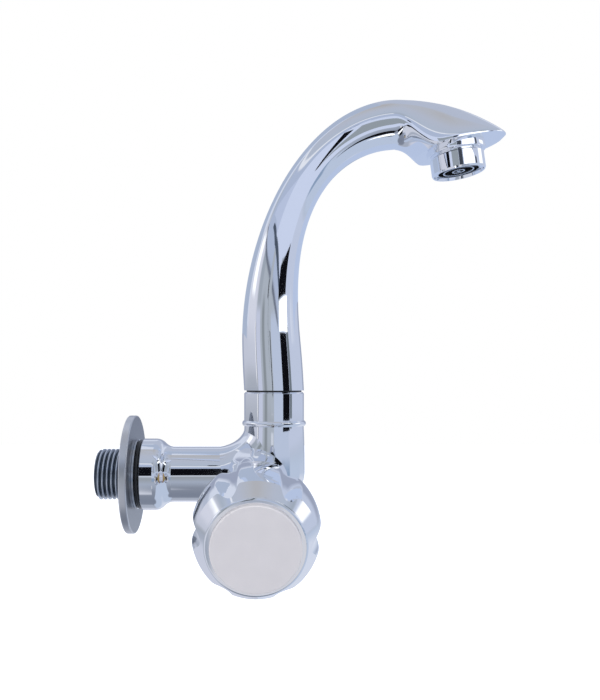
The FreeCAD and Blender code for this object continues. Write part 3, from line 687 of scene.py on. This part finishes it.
BLACK = (0.004, 0.004, 0.006)
INK = (0.07, 0.09, 0.13)
STEEL_BLUE = (0.34, 0.38, 0.50)
BLUE = (0.42, 0.49, 0.63)
SHADE = (0.47, 0.52, 0.64)
SKY = (0.49, 0.58, 0.78)
PALE = (0.61, 0.68, 0.86)
LILAC = (0.67, 0.72, 0.84)
GREY = (0.42, 0.465, 0.53)
WHITE = (1.15, 1.18, 1.22)

# The room from straight below, at 0, to straight above, at 1.
ROOM_HEIGHTS = (
    (0.0, (0.20, 0.23, 0.30)), (0.22, (0.25, 0.28, 0.35)), (0.36, (0.38, 0.43, 0.53)),
    (0.45, (0.33, 0.36, 0.40)), (0.52, (0.39, 0.42, 0.47)), (0.66, (0.34, 0.39, 0.46)),
    (0.75, (0.45, 0.51, 0.62)), (0.86, (0.47, 0.51, 0.61)), (0.94, (0.47, 0.49, 0.54)),
    (1.0, (0.45, 0.44, 0.45)),
)

# Each card lies over the ones before it.
ROOM_CARDS = (
    Card(-182.0, -62.0, -70.0, -4.0, (0.40, 0.44, 0.53), soft=8.0),
    Card(-182.0, -110.0, -48.0, -14.0, (0.60, 0.63, 0.74), soft=12.0),
    Card(-80.0, -14.0, -60.0, -9.0, (0.62, 0.65, 0.74), soft=8.0),
    Card(40.0, 182.0, -75.0, -3.0, (0.50, 0.58, 0.73), soft=8.0),
    Card(112.0, 182.0, -42.0, -10.0, LILAC, soft=12.0),
    Card(-182.0, -62.0, -2.0, 30.0, (0.56, 0.59, 0.69), soft=6.0),
    Card(-182.0, -112.0, 10.0, 78.0, SHADE, soft=10.0),
    Card(112.0, 182.0, 10.0, 78.0, SHADE, soft=10.0),
    Card(-182.0, -112.0, 20.0, 39.0, LILAC, soft=6.0),
    Card(112.0, 155.0, 18.0, 39.0, LILAC, soft=6.0),
    Card(-108.0, -64.0, 6.0, 34.0, (0.68, 0.70, 0.80), soft=12.0),
    Card(-62.0, -44.0, -6.0, 14.0, (0.56, 0.60, 0.74), soft=4.0),
    Card(-44.0, 36.0, -3.0, 26.0, GREY, soft=5.0),
    Card(-37.0, -27.0, -6.0, 16.0, (0.26, 0.29, 0.32), soft=6.0),
    Card(-1.0, 60.0, -6.0, 12.5, (0.50, 0.57, 0.72), soft=2.5),
    Card(-90.0, 28.0, 34.0, 54.0, (0.43, 0.50, 0.66), soft=2.0, slope=-0.19),
    Card(-90.0, 28.0, 33.0, 34.2, (0.14, 0.16, 0.21), soft=0.8, slope=-0.19),
    Card(-100.0, 10.0, 54.0, 57.0, (0.80, 0.83, 0.90), soft=1.5, slope=-0.19),
    Card(56.0, 182.0, -4.0, 32.0, (0.54, 0.60, 0.75), soft=4.0),
    Card(-182.0, -144.0, -5.0, 26.0, STEEL_BLUE, soft=12.0),
    Card(144.0, 182.0, -5.0, 26.0, STEEL_BLUE, soft=12.0),
    Card(-98.0, -78.0, 17.0, 31.0, WHITE, soft=4.0),
    Card(86.0, 112.0, 11.0, 27.0, WHITE, soft=5.0),
    Card(-67.5, -65.0, -3.0, 10.0, (0.95, 0.96, 1.0), soft=0.6),
    Card(-64.6, -63.0, -3.0, 10.0, (0.16, 0.17, 0.20), soft=0.6),
    Card(-12.0, -3.0, 1.5, 29.0, BLACK, soft=1.0),
    Card(-12.0, -3.0, -2.5, 0.5, (0.62, 0.66, 0.74), soft=1.0),
    Card(5.0, 60.0, -17.0, -6.0, (0.26, 0.35, 0.50), soft=4.0),
    Card(-4.9, 6.5, -41.0, -30.0, (0.66, 0.67, 0.72), soft=0.6),
)

FLAGS = (
    Flag("black_flag_low", 31.0, 56.0, 19.0, 70.5, BLACK),
    Flag("grey_flag_low", 57.0, 66.0, 20.0, 74.0, (0.16, 0.19, 0.22)),
    Flag("softbox_small", 30.0, 64.0, 71.0, 86.5, (1.6, 1.65, 1.7)),
    Flag("black_flag_high", 27.0, 58.0, 87.5, 102.5, BLACK),
    Flag("black_strip", -6.4, -4.2, 30.0, 80.0, BLACK, distance=140.0),
    Flag("black_mark", -16.4, -13.8, 108.0, 123.0, BLACK, distance=140.0),
    Flag("pale_card", -18.0, 29.0, 95.0, 176.0, PALE, distance=84.0, low_lift=37.0),
    Flag("pale_card_left", -70.0, -18.0, 132.0, 176.0, (0.50, 0.57, 0.75), distance=84.0, low_lift=34.0),
    Flag("leaf_line", -18.0, 29.0, 90.0, 95.5, INK, distance=83.0, low_lift=37.0, high_lift=37.0),
    Flag("leaf_line_left", -50.0, -18.0, 127.0, 132.5, INK, distance=83.0, low_lift=22.0, high_lift=21.0),
    Flag("pale_card_right", -30.0, 40.0, 106.0, 172.0, PALE, distance=86.0, middle_x=130.0),
    Flag("plain_card", -11.5, -2.0, 20.0, 160.0, GREY, distance=142.0),
    Flag("sky_card", 120.0, 240.0, 75.0, 620.0, SKY, distance=52.0, middle_x=46.0),
    Flag("lilac_card", 120.0, 240.0, 75.0, 620.0, LILAC, distance=60.0, middle_x=-52.0),
    Flag("sky_card_right", 120.0, 240.0, 75.0, 146.0, SKY, distance=52.0, middle_x=136.0),
    Flag("blue_card", 120.0, 240.0, 60.0, 130.0, BLUE, distance=36.0, middle_x=24.0),
    Flag("blue_card_high", 120.0, 240.0, 125.0, 620.0, BLUE, distance=50.0, middle_x=60.0),
    Flag("aerator_line", -59.0, -49.0, 126.0, 152.0, BLACK, distance=66.0, middle_x=142.0),
    Flag("aerator_grey", -40.0, -16.0, 126.0, 156.0, (0.30, 0.34, 0.38), distance=70.0, middle_x=142.0),
    Flag("aerator_dark", -15.0, 1.0, 126.0, 156.0, (0.05, 0.06, 0.08), distance=70.0, middle_x=142.0),
    Flag("aerator_light", 2.0, 51.0, 126.0, 156.0, (1.5, 1.55, 1.6), distance=70.0, middle_x=142.0),
    Flag("aerator_edge", 55.0, 63.0, 126.0, 156.0, (0.06, 0.07, 0.09), distance=70.0, middle_x=142.0),
)


@dataclass
class Studio:
    """White room round the tap: camera, floor, lamps and what the chrome mirrors."""

    camera_place: Point = (55.1 * MM, -291.0 * MM, 38.25 * MM)
    picture_long_side: float = 700.0
    picture_width: float = 600.0
    axis_pixel_x: float = 262.0
    axis_pixel_y: float = 382.0
    lens: float = 36.0
    nearest: float = 0.01
    farthest: float = 20.0
    floor_drop: float = 260.0 * MM
    floor_size: float = 6.0
    floor_dark: Colour = (0.80, 0.80, 0.81)
    floor_light: Colour = (0.82, 0.82, 0.83)
    floor_speck: float = 40.0
    floor_glow: float = 0.75
    backdrop: Colour = (1.0, 1.0, 1.0)

    def build(self) -> None:
        """Makes the whole studio."""
        self.make_camera()
        self.make_floor()
        self.make_world()
        for lamp in LAMPS:
            lamp.hang()
        for flag in FLAGS:
            flag.stand()
        bpy.context.scene.view_settings.view_transform = "Standard"

    def make_camera(self) -> None:
        """Camera at the photograph's place, with its axis off the middle of the frame."""
        data = bpy.data.cameras.new("studio_camera")
        data.lens = self.lens
        data.sensor_width = self.lens
        data.clip_start = self.nearest
        data.clip_end = self.farthest
        data.shift_x = (self.picture_width / 2 - self.axis_pixel_x) / self.picture_long_side
        data.shift_y = (self.axis_pixel_y - self.picture_long_side / 2) / self.picture_long_side
        camera = bpy.data.objects.new("studio_camera", data)
        camera.location = self.camera_place
        camera.rotation_euler = (math.radians(90.0), 0.0, 0.0)
        bpy.context.collection.objects.link(camera)
        bpy.context.scene.camera = camera

    def make_floor(self) -> None:
        """Pale floor, well below the tap, white to the camera."""
        mesh = bpy.data.meshes.new("studio_floor")
        half = self.floor_size / 2
        corners = [(-half, -half), (half, -half), (half, half), (-half, half)]
        mesh.from_pydata([(x, y, -self.floor_drop) for x, y in corners], [], [(0, 1, 2, 3)])
        floor = bpy.data.objects.new("studio_floor", mesh)
        bpy.context.collection.objects.link(floor)
        floor.visible_glossy = False
        material = bpy.data.materials.new("studio_floor")
        material.use_nodes = True
        book = NodeBook(material.node_tree)
        seen = book.node("ShaderNodeLightPath", {}, {}, "Is Camera Ray")
        speck = book.noise(book.place(), self.floor_speck)
        colour = book.blend(speck, self.floor_dark, self.floor_light)
        paint = book.node("ShaderNodeBsdfDiffuse", {}, {"Color": colour})
        white = {"Color": (*self.backdrop, 1.0), "Strength": seen * self.floor_glow}
        glow = book.node("ShaderNodeEmission", {}, white)
        both = book.node("ShaderNodeAddShader", {}, {0: paint, 1: glow})
        book.node("ShaderNodeOutputMaterial", {}, {"Surface": both})
        mesh.materials.append(material)

    def make_world(self) -> None:
        """White backdrop for the camera and a soft room for the mirror-bright plate."""
        world = bpy.data.worlds.new("studio_room")
        bpy.context.scene.world = world
        world.use_nodes = True
        book = NodeBook(world.node_tree)
        room = self.room_colour(book)
        seen = book.node("ShaderNodeLightPath", {}, {}, "Is Camera Ray")
        colour = book.blend(seen, room, self.backdrop)
        light = book.node("ShaderNodeBackground", {}, {"Color": colour, "Strength": 1.0})
        book.node("ShaderNodeOutputWorld", {}, {"Surface": light})

    def room_colour(self, book: NodeBook) -> Socket:
        """Colour of the room by direction.

        Args:
            book: helper of the world's tree.

        Returns:
            The colour.
        """
        ray = book.node("ShaderNodeTexCoord", {}, {}, "Generated")
        x, y, z = book.parts(ray)
        turn = x.angle_to(-y)
        rise = z.arcsine()
        height = (rise + 90.0) / 180.0
        colour = book.node("ShaderNodeValToRGB", {"stops": ROOM_HEIGHTS}, {"Fac": height})
        for card in ROOM_CARDS:
            colour = card.pinned(book, colour, turn, rise)
        return colour


@dataclass
class Assembly:
    """Base of the sub-assemblies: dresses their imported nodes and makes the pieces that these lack."""

    frame: dict[str, Any]
    nodes: tuple[str, ...] = ()
    finishes: dict[str, Finish] = field(default_factory=dict)

    def build(self) -> None:
        """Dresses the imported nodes, then makes the assembly's own pieces."""
        self.dress_nodes()
        self.make_pieces()

    def dress_nodes(self) -> None:
        """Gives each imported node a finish, this assembly's own or that of its material slot."""
        slots = {row["node"]: Slot(row["material_slot"]) for row in self.frame["record"]["subparts"]}
        for name in self.nodes:
            finish = self.finishes.get(name, FINISH_OF_SLOT[slots[name]])
            paint(self.frame["nodes"][name], finish)
            LOG.info("node %s: %s", name, finish.name)

    def make_pieces(self) -> None:
        """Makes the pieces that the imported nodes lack; a plain assembly has none."""

    def settle(self, piece: bpy.types.Object, finish: Finish, body: Body) -> None:
        """Lets a piece that is made here ride on its body, and dresses it.

        Args:
            piece: the piece.
            finish: its finish.
            body: the body that carries it.
        """
        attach(piece, body.value)
        paint(piece, finish)
        LOG.info("piece %s: %s", piece.name, finish.name)


@dataclass
class Inlet(Assembly):
    """Body casting with the real thread on its shank, and the flange and seal that sit on it."""

    nodes: tuple[str, ...] = ("tap_body", "wall_flange", "flange_seal")
    finishes: dict[str, Finish] = field(default_factory=lambda: {"wall_flange": DISC, "flange_seal": SEAL})
    casting: str = "tap_body"
    crest_radius: float = 10.47 * MM
    root_radius: float = 9.32 * MM
    core_gap: float = 0.02 * MM
    pitch: float = 1.814 * MM
    length: float = 12.6 * MM
    seat_radius: float = 10.6 * MM
    seat_margin: float = 0.01 * MM
    flank_gain: float = 1.35
    flank_start: float = 0.175
    fade: float = 0.9 * MM
    turn_steps: int = 72
    pitch_steps: int = 14

    def make_pieces(self) -> None:
        """Makes the body with a slimmed shank and lays the thread on it."""
        body = self.slimmed_body()
        thread = self.thread()
        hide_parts(self.casting)
        self.settle(body, CHROME, Body.FIXED)
        self.settle(thread, THREAD, Body.FIXED)

    def slimmed_body(self) -> bpy.types.Object:
        """Copies the body and turns its shank down to the thread's root.

        Returns:
            The copy.
        """
        node = self.frame["nodes"][self.casting]
        copy = bpy.data.objects.new("body_dressed", node.data.copy())
        bpy.context.collection.objects.link(copy)
        copy.matrix_world = node.matrix_world.copy()
        back = copy.matrix_world.inverted()
        slim = self.root_radius - self.core_gap
        for vertex in copy.data.vertices:
            place = copy.matrix_world @ vertex.co
            radius = math.hypot(place.y, place.z)
            if place.x < self.seat_margin and slim < radius < self.seat_radius:
                share = slim / radius
                vertex.co = back @ Vector((place.x, place.y * share, place.z * share))
        return copy

    def ridge(self, x: float, angle: float) -> float:
        """Radius of the thread at a place on the shank.

        Args:
            x: place along the inlet axis.
            angle: place round it.

        Returns:
            The radius.
        """
        phase = (x / self.pitch + angle / math.tau) % 1.0
        swell = (1 - math.cos(math.tau * phase)) / 2
        flank = min(1.0, max(0.0, self.flank_gain * swell - self.flank_start))
        ends = min(1.0, max(0.0, (x + self.length) / self.fade), max(0.0, -x / self.fade))
        return self.root_radius + (self.crest_radius - self.root_radius) * flank * ends

    def thread(self) -> bpy.types.Object:
        """Makes the helical ridge along the shank.

        Returns:
            The thread.
        """
        rows = int(self.length / self.pitch * self.pitch_steps)
        turns = [math.tau * step / self.turn_steps for step in range(self.turn_steps)]
        points = []
        for row in range(rows + 1):
            x = self.length * (row / rows - 1.0)
            for angle in turns:
                radius = self.ridge(x, angle)
                points.append((x, radius * math.cos(angle), radius * math.sin(angle)))
        return grid_object("shank_thread", points, self.turn_steps)


@dataclass
class Swivel(Assembly):
    """Collar nut under the spout, with the turning nipple, rings and washer inside it."""

    nodes: tuple[str, ...] = (
        "swivel_collar", "slip_washer", "swivel_nipple", "swivel_ring_upper", "swivel_ring_lower",
        "retaining_ring",
    )


@dataclass
class Spout(Assembly):
    """Neck and leaf head of the spout as one flowing skin, with the nozzle ring and the foot's bore.

    Lengths are in millimetres along the solid's own centreline, and angles in degrees. A length forward
    counts from the neck's end into the head, and is negative in the neck.
    """

    nodes: tuple[str, ...] = ("spout",)
    casting: str = "spout"
    foot_x: float = 60.1
    foot_z: float = 34.8
    foot_radius: float = 12.4
    bore_radius: float = 9.7
    bore_depth: float = 9.0
    lean: float = -3.3
    straight: float = 19.0
    neck_length: float = 135.9
    early_bend: float = 41.5
    waist_radius: float = 8.1
    taper_start: float = 5.0
    taper_end: float = 92.0
    head_radius: float = 9.8
    head_length: float = 44.2
    head_end_share: float = 0.992
    crown_delay: float = 3.2
    crown_radius: float = 64.0
    half_width: float = 16.8
    widest_share: float = 0.48
    plan_power: float = 2.2
    flank_start: float = -4.5
    flank_length: float = 21.5
    chin_start: float = -3.5
    chin_length: float = 25.0
    chin_depth: float = 7.0
    keel: float = 0.2
    keel_length: float = 9.0
    ridge_height: float = 1.0
    round_pull: float = 0.5523
    side_pull: float = 0.30
    top_pull: float = 0.40
    leaf_slope: float = 13.3
    tip_drop: float = 5.3
    cut_margin: float = 0.0001
    nozzle_share: float = 0.5475
    nozzle_tilt: float = 8.0
    nozzle_radius: float = 11.9
    nozzle_bore: float = 10.3
    nozzle_height: float = 2.2
    nozzle_depth: float = 4.4
    nozzle_root: float = 3.4
    nozzle_belt: float = 1.0
    nozzle_edge: float = 0.35
    edge_corner: float = 0.3
    quarter_steps: int = 20
    neck_stations: int = 150
    station_steps: int = 8
    head_stations: int = 70
    line: list[Spot] = field(default_factory=list)

    def make_pieces(self) -> None:
        """Makes the spout's skin in place of the solid's, with its nozzle and foot."""
        self.line = self.centreline()
        skin = self.skin()
        self.cut_leaf(skin)
        nozzle = self.nozzle()
        foot = self.foot()
        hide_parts(self.casting)
        for piece in (skin, nozzle, foot):
            self.settle(piece, CHROME, Body.SPOUT)

    def heading(self, distance: float) -> float:
        """Heading of the neck.

        Args:
            distance: length along the neck.

        Returns:
            The angle from upright, in radians.
        """
        share = max(0.0, distance - self.straight) / (self.neck_length - self.straight)
        late_bend = 90.0 - self.lean - self.early_bend
        return math.radians(self.lean + self.early_bend * share + late_bend * share ** 3)

    def centreline(self) -> list[Spot]:
        """Walks along the neck's middle.

        Returns:
            Its points in X and Z, one for each station.
        """
        x, z = self.foot_x, self.foot_z
        points = [(x, z)]
        steps = self.neck_stations * self.station_steps
        step = self.neck_length / steps
        for index in range(steps):
            heading = self.heading((index + 0.5) * step)
            x += step * math.sin(heading)
            z += step * math.cos(heading)
            if (index + 1) % self.station_steps == 0:
                points.append((x, z))
        return points

    def radius(self, distance: float) -> float:
        """Radius of the neck, wide at the foot, slim in the arch, fuller at the head.

        Args:
            distance: length along the neck.

        Returns:
            The radius.
        """
        if distance < self.taper_end:
            share = max(0.0, distance - self.taper_start) / (self.taper_end - self.taper_start)
            swing = (1 + math.cos(math.pi * share)) / 2
            return self.waist_radius + (self.foot_radius - self.waist_radius) * swing
        share = (distance - self.taper_end) / (self.neck_length - self.taper_end)
        return self.waist_radius + (self.head_radius - self.waist_radius) * eased(share)

    def leaf_height(self, forward: float) -> float:
        """Height of the leaf's flat underside at a length forward."""
        rise = (self.head_length - forward) * math.tan(math.radians(self.leaf_slope))
        return self.line[-1][1] - self.tip_drop - rise

    def ridge_line(self, forward: float) -> float:
        """Height at which the head is widest, just above the leaf, at a length forward."""
        ahead = 1 - max(0.0, forward) / self.head_length
        return self.leaf_height(forward) + self.ridge_height * ahead

    def flank_drop(self, forward: float) -> float:
        """Depth of the widest line below the neck's middle, at a length forward."""
        full = self.line[-1][1] - self.ridge_line(forward)
        return full * flowing((forward - self.flank_start) / self.flank_length)

    def keel_at(self, forward: float) -> float:
        """How much narrower than round the underside is, at a length forward."""
        return self.keel * flowing((forward - self.flank_start) / self.keel_length)

    def width_at(self, share: float) -> float:
        """Half width of the leaf.

        Args:
            share: place along the head, from 0 to 1.

        Returns:
            The half width.
        """
        if share > self.widest_share:
            beyond = (share - self.widest_share) / (1 - self.widest_share)
            return self.half_width * (1 - beyond ** self.plan_power) ** (1 / self.plan_power)
        widen = eased(share / self.widest_share)
        return self.head_radius + (self.half_width - self.head_radius) * widen

    def section(self, width: float, rise: float, fall: float, side: float, top: float,
                keel: float) -> list[Spot]:
        """Closed outline of a section, from its right side over the top.

        Args:
            width: half width.
            rise: height above the section's wide line.
            fall: depth below it.
            side: pull of the upper quarters towards the side.
            top: pull of the upper quarters towards the top.
            keel: how much narrower than round its lower quarters are.

        Returns:
            Points of (sideways, upwards).
        """
        ring = []
        plain = self.round_pull - keel
        for quarter in range(4):
            upper = quarter < 2
            height = rise if upper else -fall
            near_side, near_top = (side, top) if upper else (plain, plain)
            half = width if quarter in (0, 3) else -width
            for step in range(self.quarter_steps):
                share = step / self.quarter_steps
                if quarter % 2:
                    share = 1.0 - share
                back = 1.0 - share
                out = back ** 3 + 3 * back ** 2 * share + 3 * back * share ** 2 * near_top
                up = 3 * back ** 2 * share * near_side + 3 * back * share ** 2 + share ** 3
                ring.append((half * out, height * up))
        return ring

    def neck_rings(self) -> list[Point]:
        """Lays the neck's sections along the centreline.

        Returns:
            Their points, one section after another.
        """
        points = []
        for index, (x, z) in enumerate(self.line[:-1]):
            distance = self.neck_length * index / self.neck_stations
            heading = self.heading(distance) if index else 0.0
            radius = self.radius(distance)
            forward = distance - self.neck_length
            drop = self.flank_drop(forward)
            ring = self.section(radius, radius + drop, radius - drop, self.round_pull, self.round_pull,
                                self.keel_at(forward))
            for side, up in ring:
                rise = up - drop
                points.append((x - rise * math.cos(heading), side, z + rise * math.sin(heading)))
        return points

    def head_rings(self) -> list[Point]:
        """Lays the head's upright sections, from a round one to the leaf's tip.

        Returns:
            Their points, one section after another.
        """
        points = []
        start_x, start_z = self.line[-1]
        for index in range(self.head_stations + 1):
            share = self.head_end_share * index / self.head_stations
            forward = self.head_length * share
            past = max(0.0, forward - self.crown_delay)
            crown = math.sqrt(self.crown_radius ** 2 - past ** 2) - self.crown_radius
            top = start_z + self.head_radius + crown
            middle = start_z - self.flank_drop(forward)
            chin = flowing((forward - self.chin_start) / self.chin_length)
            floor = self.ridge_line(forward) - self.chin_depth
            bottom = (start_z - self.head_radius) * (1 - chin) + floor * chin
            widen = eased(share / self.widest_share)
            side = self.round_pull + (self.side_pull - self.round_pull) * widen
            shoulder = self.round_pull + (self.top_pull - self.round_pull) * widen
            ring = self.section(self.width_at(share), top - middle, middle - bottom, side, shoulder,
                                self.keel_at(forward))
            points += [(start_x + forward, out, middle + up) for out, up in ring]
        return points

    def skin(self) -> bpy.types.Object:
        """Makes neck and head as one skin, closed at the tip.

        Returns:
            The skin.
        """
        around = 4 * self.quarter_steps
        points = self.neck_rings() + self.head_rings()
        piece = grid_object("spout_skin", [(x * MM, y * MM, z * MM) for x, y, z in points], around)
        mesh = bmesh.new()
        mesh.from_mesh(piece.data)
        mesh.verts.ensure_lookup_table()
        mesh.faces.new([mesh.verts[len(points) - around + step] for step in range(around)])
        bmesh.ops.recalc_face_normals(mesh, faces=mesh.faces)
        mesh.to_mesh(piece.data)
        mesh.free()
        return piece

    def cut_leaf(self, piece: bpy.types.Object) -> None:
        """Cuts the leaf's flat underside, with a crisp edge.

        Args:
            piece: the skin.
        """
        start_x = self.line[-1][0] * MM
        slope = math.radians(self.leaf_slope)
        mesh = bmesh.new()
        mesh.from_mesh(piece.data)
        near = [v for v in mesh.verts if v.co.x > start_x]
        head = set(near)
        geometry = near + [e for e in mesh.edges if head.issuperset(e.verts)]
        geometry += [f for f in mesh.faces if head.issuperset(f.verts)]
        place = (start_x, 0.0, self.leaf_height(0.0) * MM)
        upwards = (-math.sin(slope), 0.0, math.cos(slope))
        cut = bmesh.ops.bisect_plane(mesh, geom=geometry, dist=self.cut_margin * MM, plane_co=place,
                                     plane_no=upwards, clear_inner=True)
        rim = [e for e in cut["geom_cut"] if isinstance(e, bmesh.types.BMEdge)]
        bmesh.ops.contextual_create(mesh, geom=rim)
        for edge in rim:
            edge.smooth = False
        for face in mesh.faces:
            if len(face.verts) > 4:
                face.smooth = False
                for edge in face.edges:
                    edge.smooth = False
        bmesh.ops.recalc_face_normals(mesh, faces=mesh.faces)
        mesh.to_mesh(piece.data)
        mesh.free()

    def nozzle(self) -> bpy.types.Object:
        """Makes the ring under the leaf that takes the aerator.

        Returns:
            The ring.
        """
        forward = self.head_length * self.nozzle_share
        place = Vector((self.line[-1][0] + forward, 0.0, self.leaf_height(forward)))
        radius, height, edge = self.nozzle_radius, self.nozzle_height, self.nozzle_edge
        inset = self.edge_corner * edge
        profile = [
            (radius, -self.nozzle_root), (radius, -self.nozzle_belt), (radius, height - edge),
            (radius - inset, height - inset), (radius - edge, height), (self.nozzle_bore, height),
            (self.nozzle_bore, height - self.nozzle_depth),
        ]
        turn = Matrix.Rotation(math.radians(180.0 - self.nozzle_tilt), 4, "Y")
        return lathe_object("spout_nozzle", profile, Matrix.Translation(place) @ turn)

    def foot(self) -> bpy.types.Object:
        """Makes the flat foot of the neck, with its bore.

        Returns:
            The foot.
        """
        profile = [(self.foot_radius, 0.0), (self.bore_radius, 0.0), (self.bore_radius, self.bore_depth)]
        return lathe_object("spout_foot", profile, Matrix.Translation((self.foot_x, 0.0, self.foot_z)))


@dataclass
class Aerator(Assembly):
    """Chromed ring in the nozzle, with the grille, cage, screens and washer that it holds."""

    nodes: tuple[str, ...] = (
        "aerator_housing", "aerator_grille", "aerator_seal", "aerator_cage", "aerator_screens",
    )
    finishes: dict[str, Finish] = field(default_factory=lambda: {"aerator_grille": GRILLE})


@dataclass
class Headwork(Assembly):
    """Brass headwork in the valve boss: bonnet, turning spindle and the jumper that it lifts."""

    nodes: tuple[str, ...] = (
        "valve_bonnet", "bonnet_seal", "valve_spindle", "thrust_washer", "spindle_ring_lower",
        "spindle_ring_upper", "spindle_clip", "valve_jumper", "jumper_washer", "jumper_nut",
    )


@dataclass
class Knob(Assembly):
    """Lobed knob on the spindle, with its bare satin cap, the cap's ring, bush and screw."""

    nodes: tuple[str, ...] = ("knob_shell", "knob_cap", "knob_cap_ring", "knob_bush", "knob_screw")


def flowing(share: float) -> float:
    """Ease from 0 to 1 with level, uncurved ends."""
    share = min(1.0, max(0.0, share))
    return share ** 3 * (10 - 15 * share + 6 * share * share)


def eased(share: float) -> float:
    """Ease from 0 to 1 with level ends."""
    share = min(1.0, max(0.0, share))
    return share * share * (3 - 2 * share)


def paint(piece: bpy.types.Object, finish: Finish) -> None:
    """Gives a piece one finish in place of what it had."""
    piece.data.materials.clear()
    piece.data.materials.append(finish.material())


def lathe_object(name: str, profile: Sequence[Spot], place: Matrix, around: int = 128,
                 crisp_angle: float = 40.0) -> bpy.types.Object:
    """Makes a turned skin with crisp corners.

    Args:
        name: name of the piece.
        profile: radius and height of each corner, in millimetres.
        place: where its axis and base lie, in millimetres.
        around: steps round the axis.
        crisp_angle: corners that turn more than this stay crisp, in degrees.

    Returns:
        The piece.
    """
    points = []
    for radius, height in profile:
        for step in range(around):
            angle = math.tau * step / around
            spot = place @ Vector((radius * math.cos(angle), radius * math.sin(angle), height))
            points.append(tuple(value * MM for value in spot))
    piece = grid_object(name, points, around)
    piece.data.set_sharp_from_angle(angle=math.radians(crisp_angle))
    return piece


def grid_object(name: str, points: Sequence[Point], around: int) -> bpy.types.Object:
    """Makes a smooth skin over rings of points.

    Args:
        name: name of the piece.
        points: the rings' points, one ring after another, in metres.
        around: points in one ring.

    Returns:
        The piece.
    """
    faces = []
    for start in range(0, len(points) - around, around):
        for step in range(around):
            after = (step + 1) % around
            faces.append((start + step, start + after, start + around + after, start + around + step))
    mesh = bpy.data.meshes.new(name)
    mesh.from_pydata(points, [], faces)
    mesh.polygons.foreach_set("use_smooth", [True] * len(mesh.polygons))
    piece = bpy.data.objects.new(name, mesh)
    bpy.context.collection.objects.link(piece)
    return piece


def main() -> None:
    """Builds the studio and the tap's sub-assemblies in order."""
    logging.basicConfig(level=logging.INFO, format="%(name)s %(message)s")
    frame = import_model()
    Studio().build()
    for assembly in (Inlet, Swivel, Spout, Aerator, Headwork, Knob):
        assembly(frame).build()


if __name__ == "__main__":
    main()
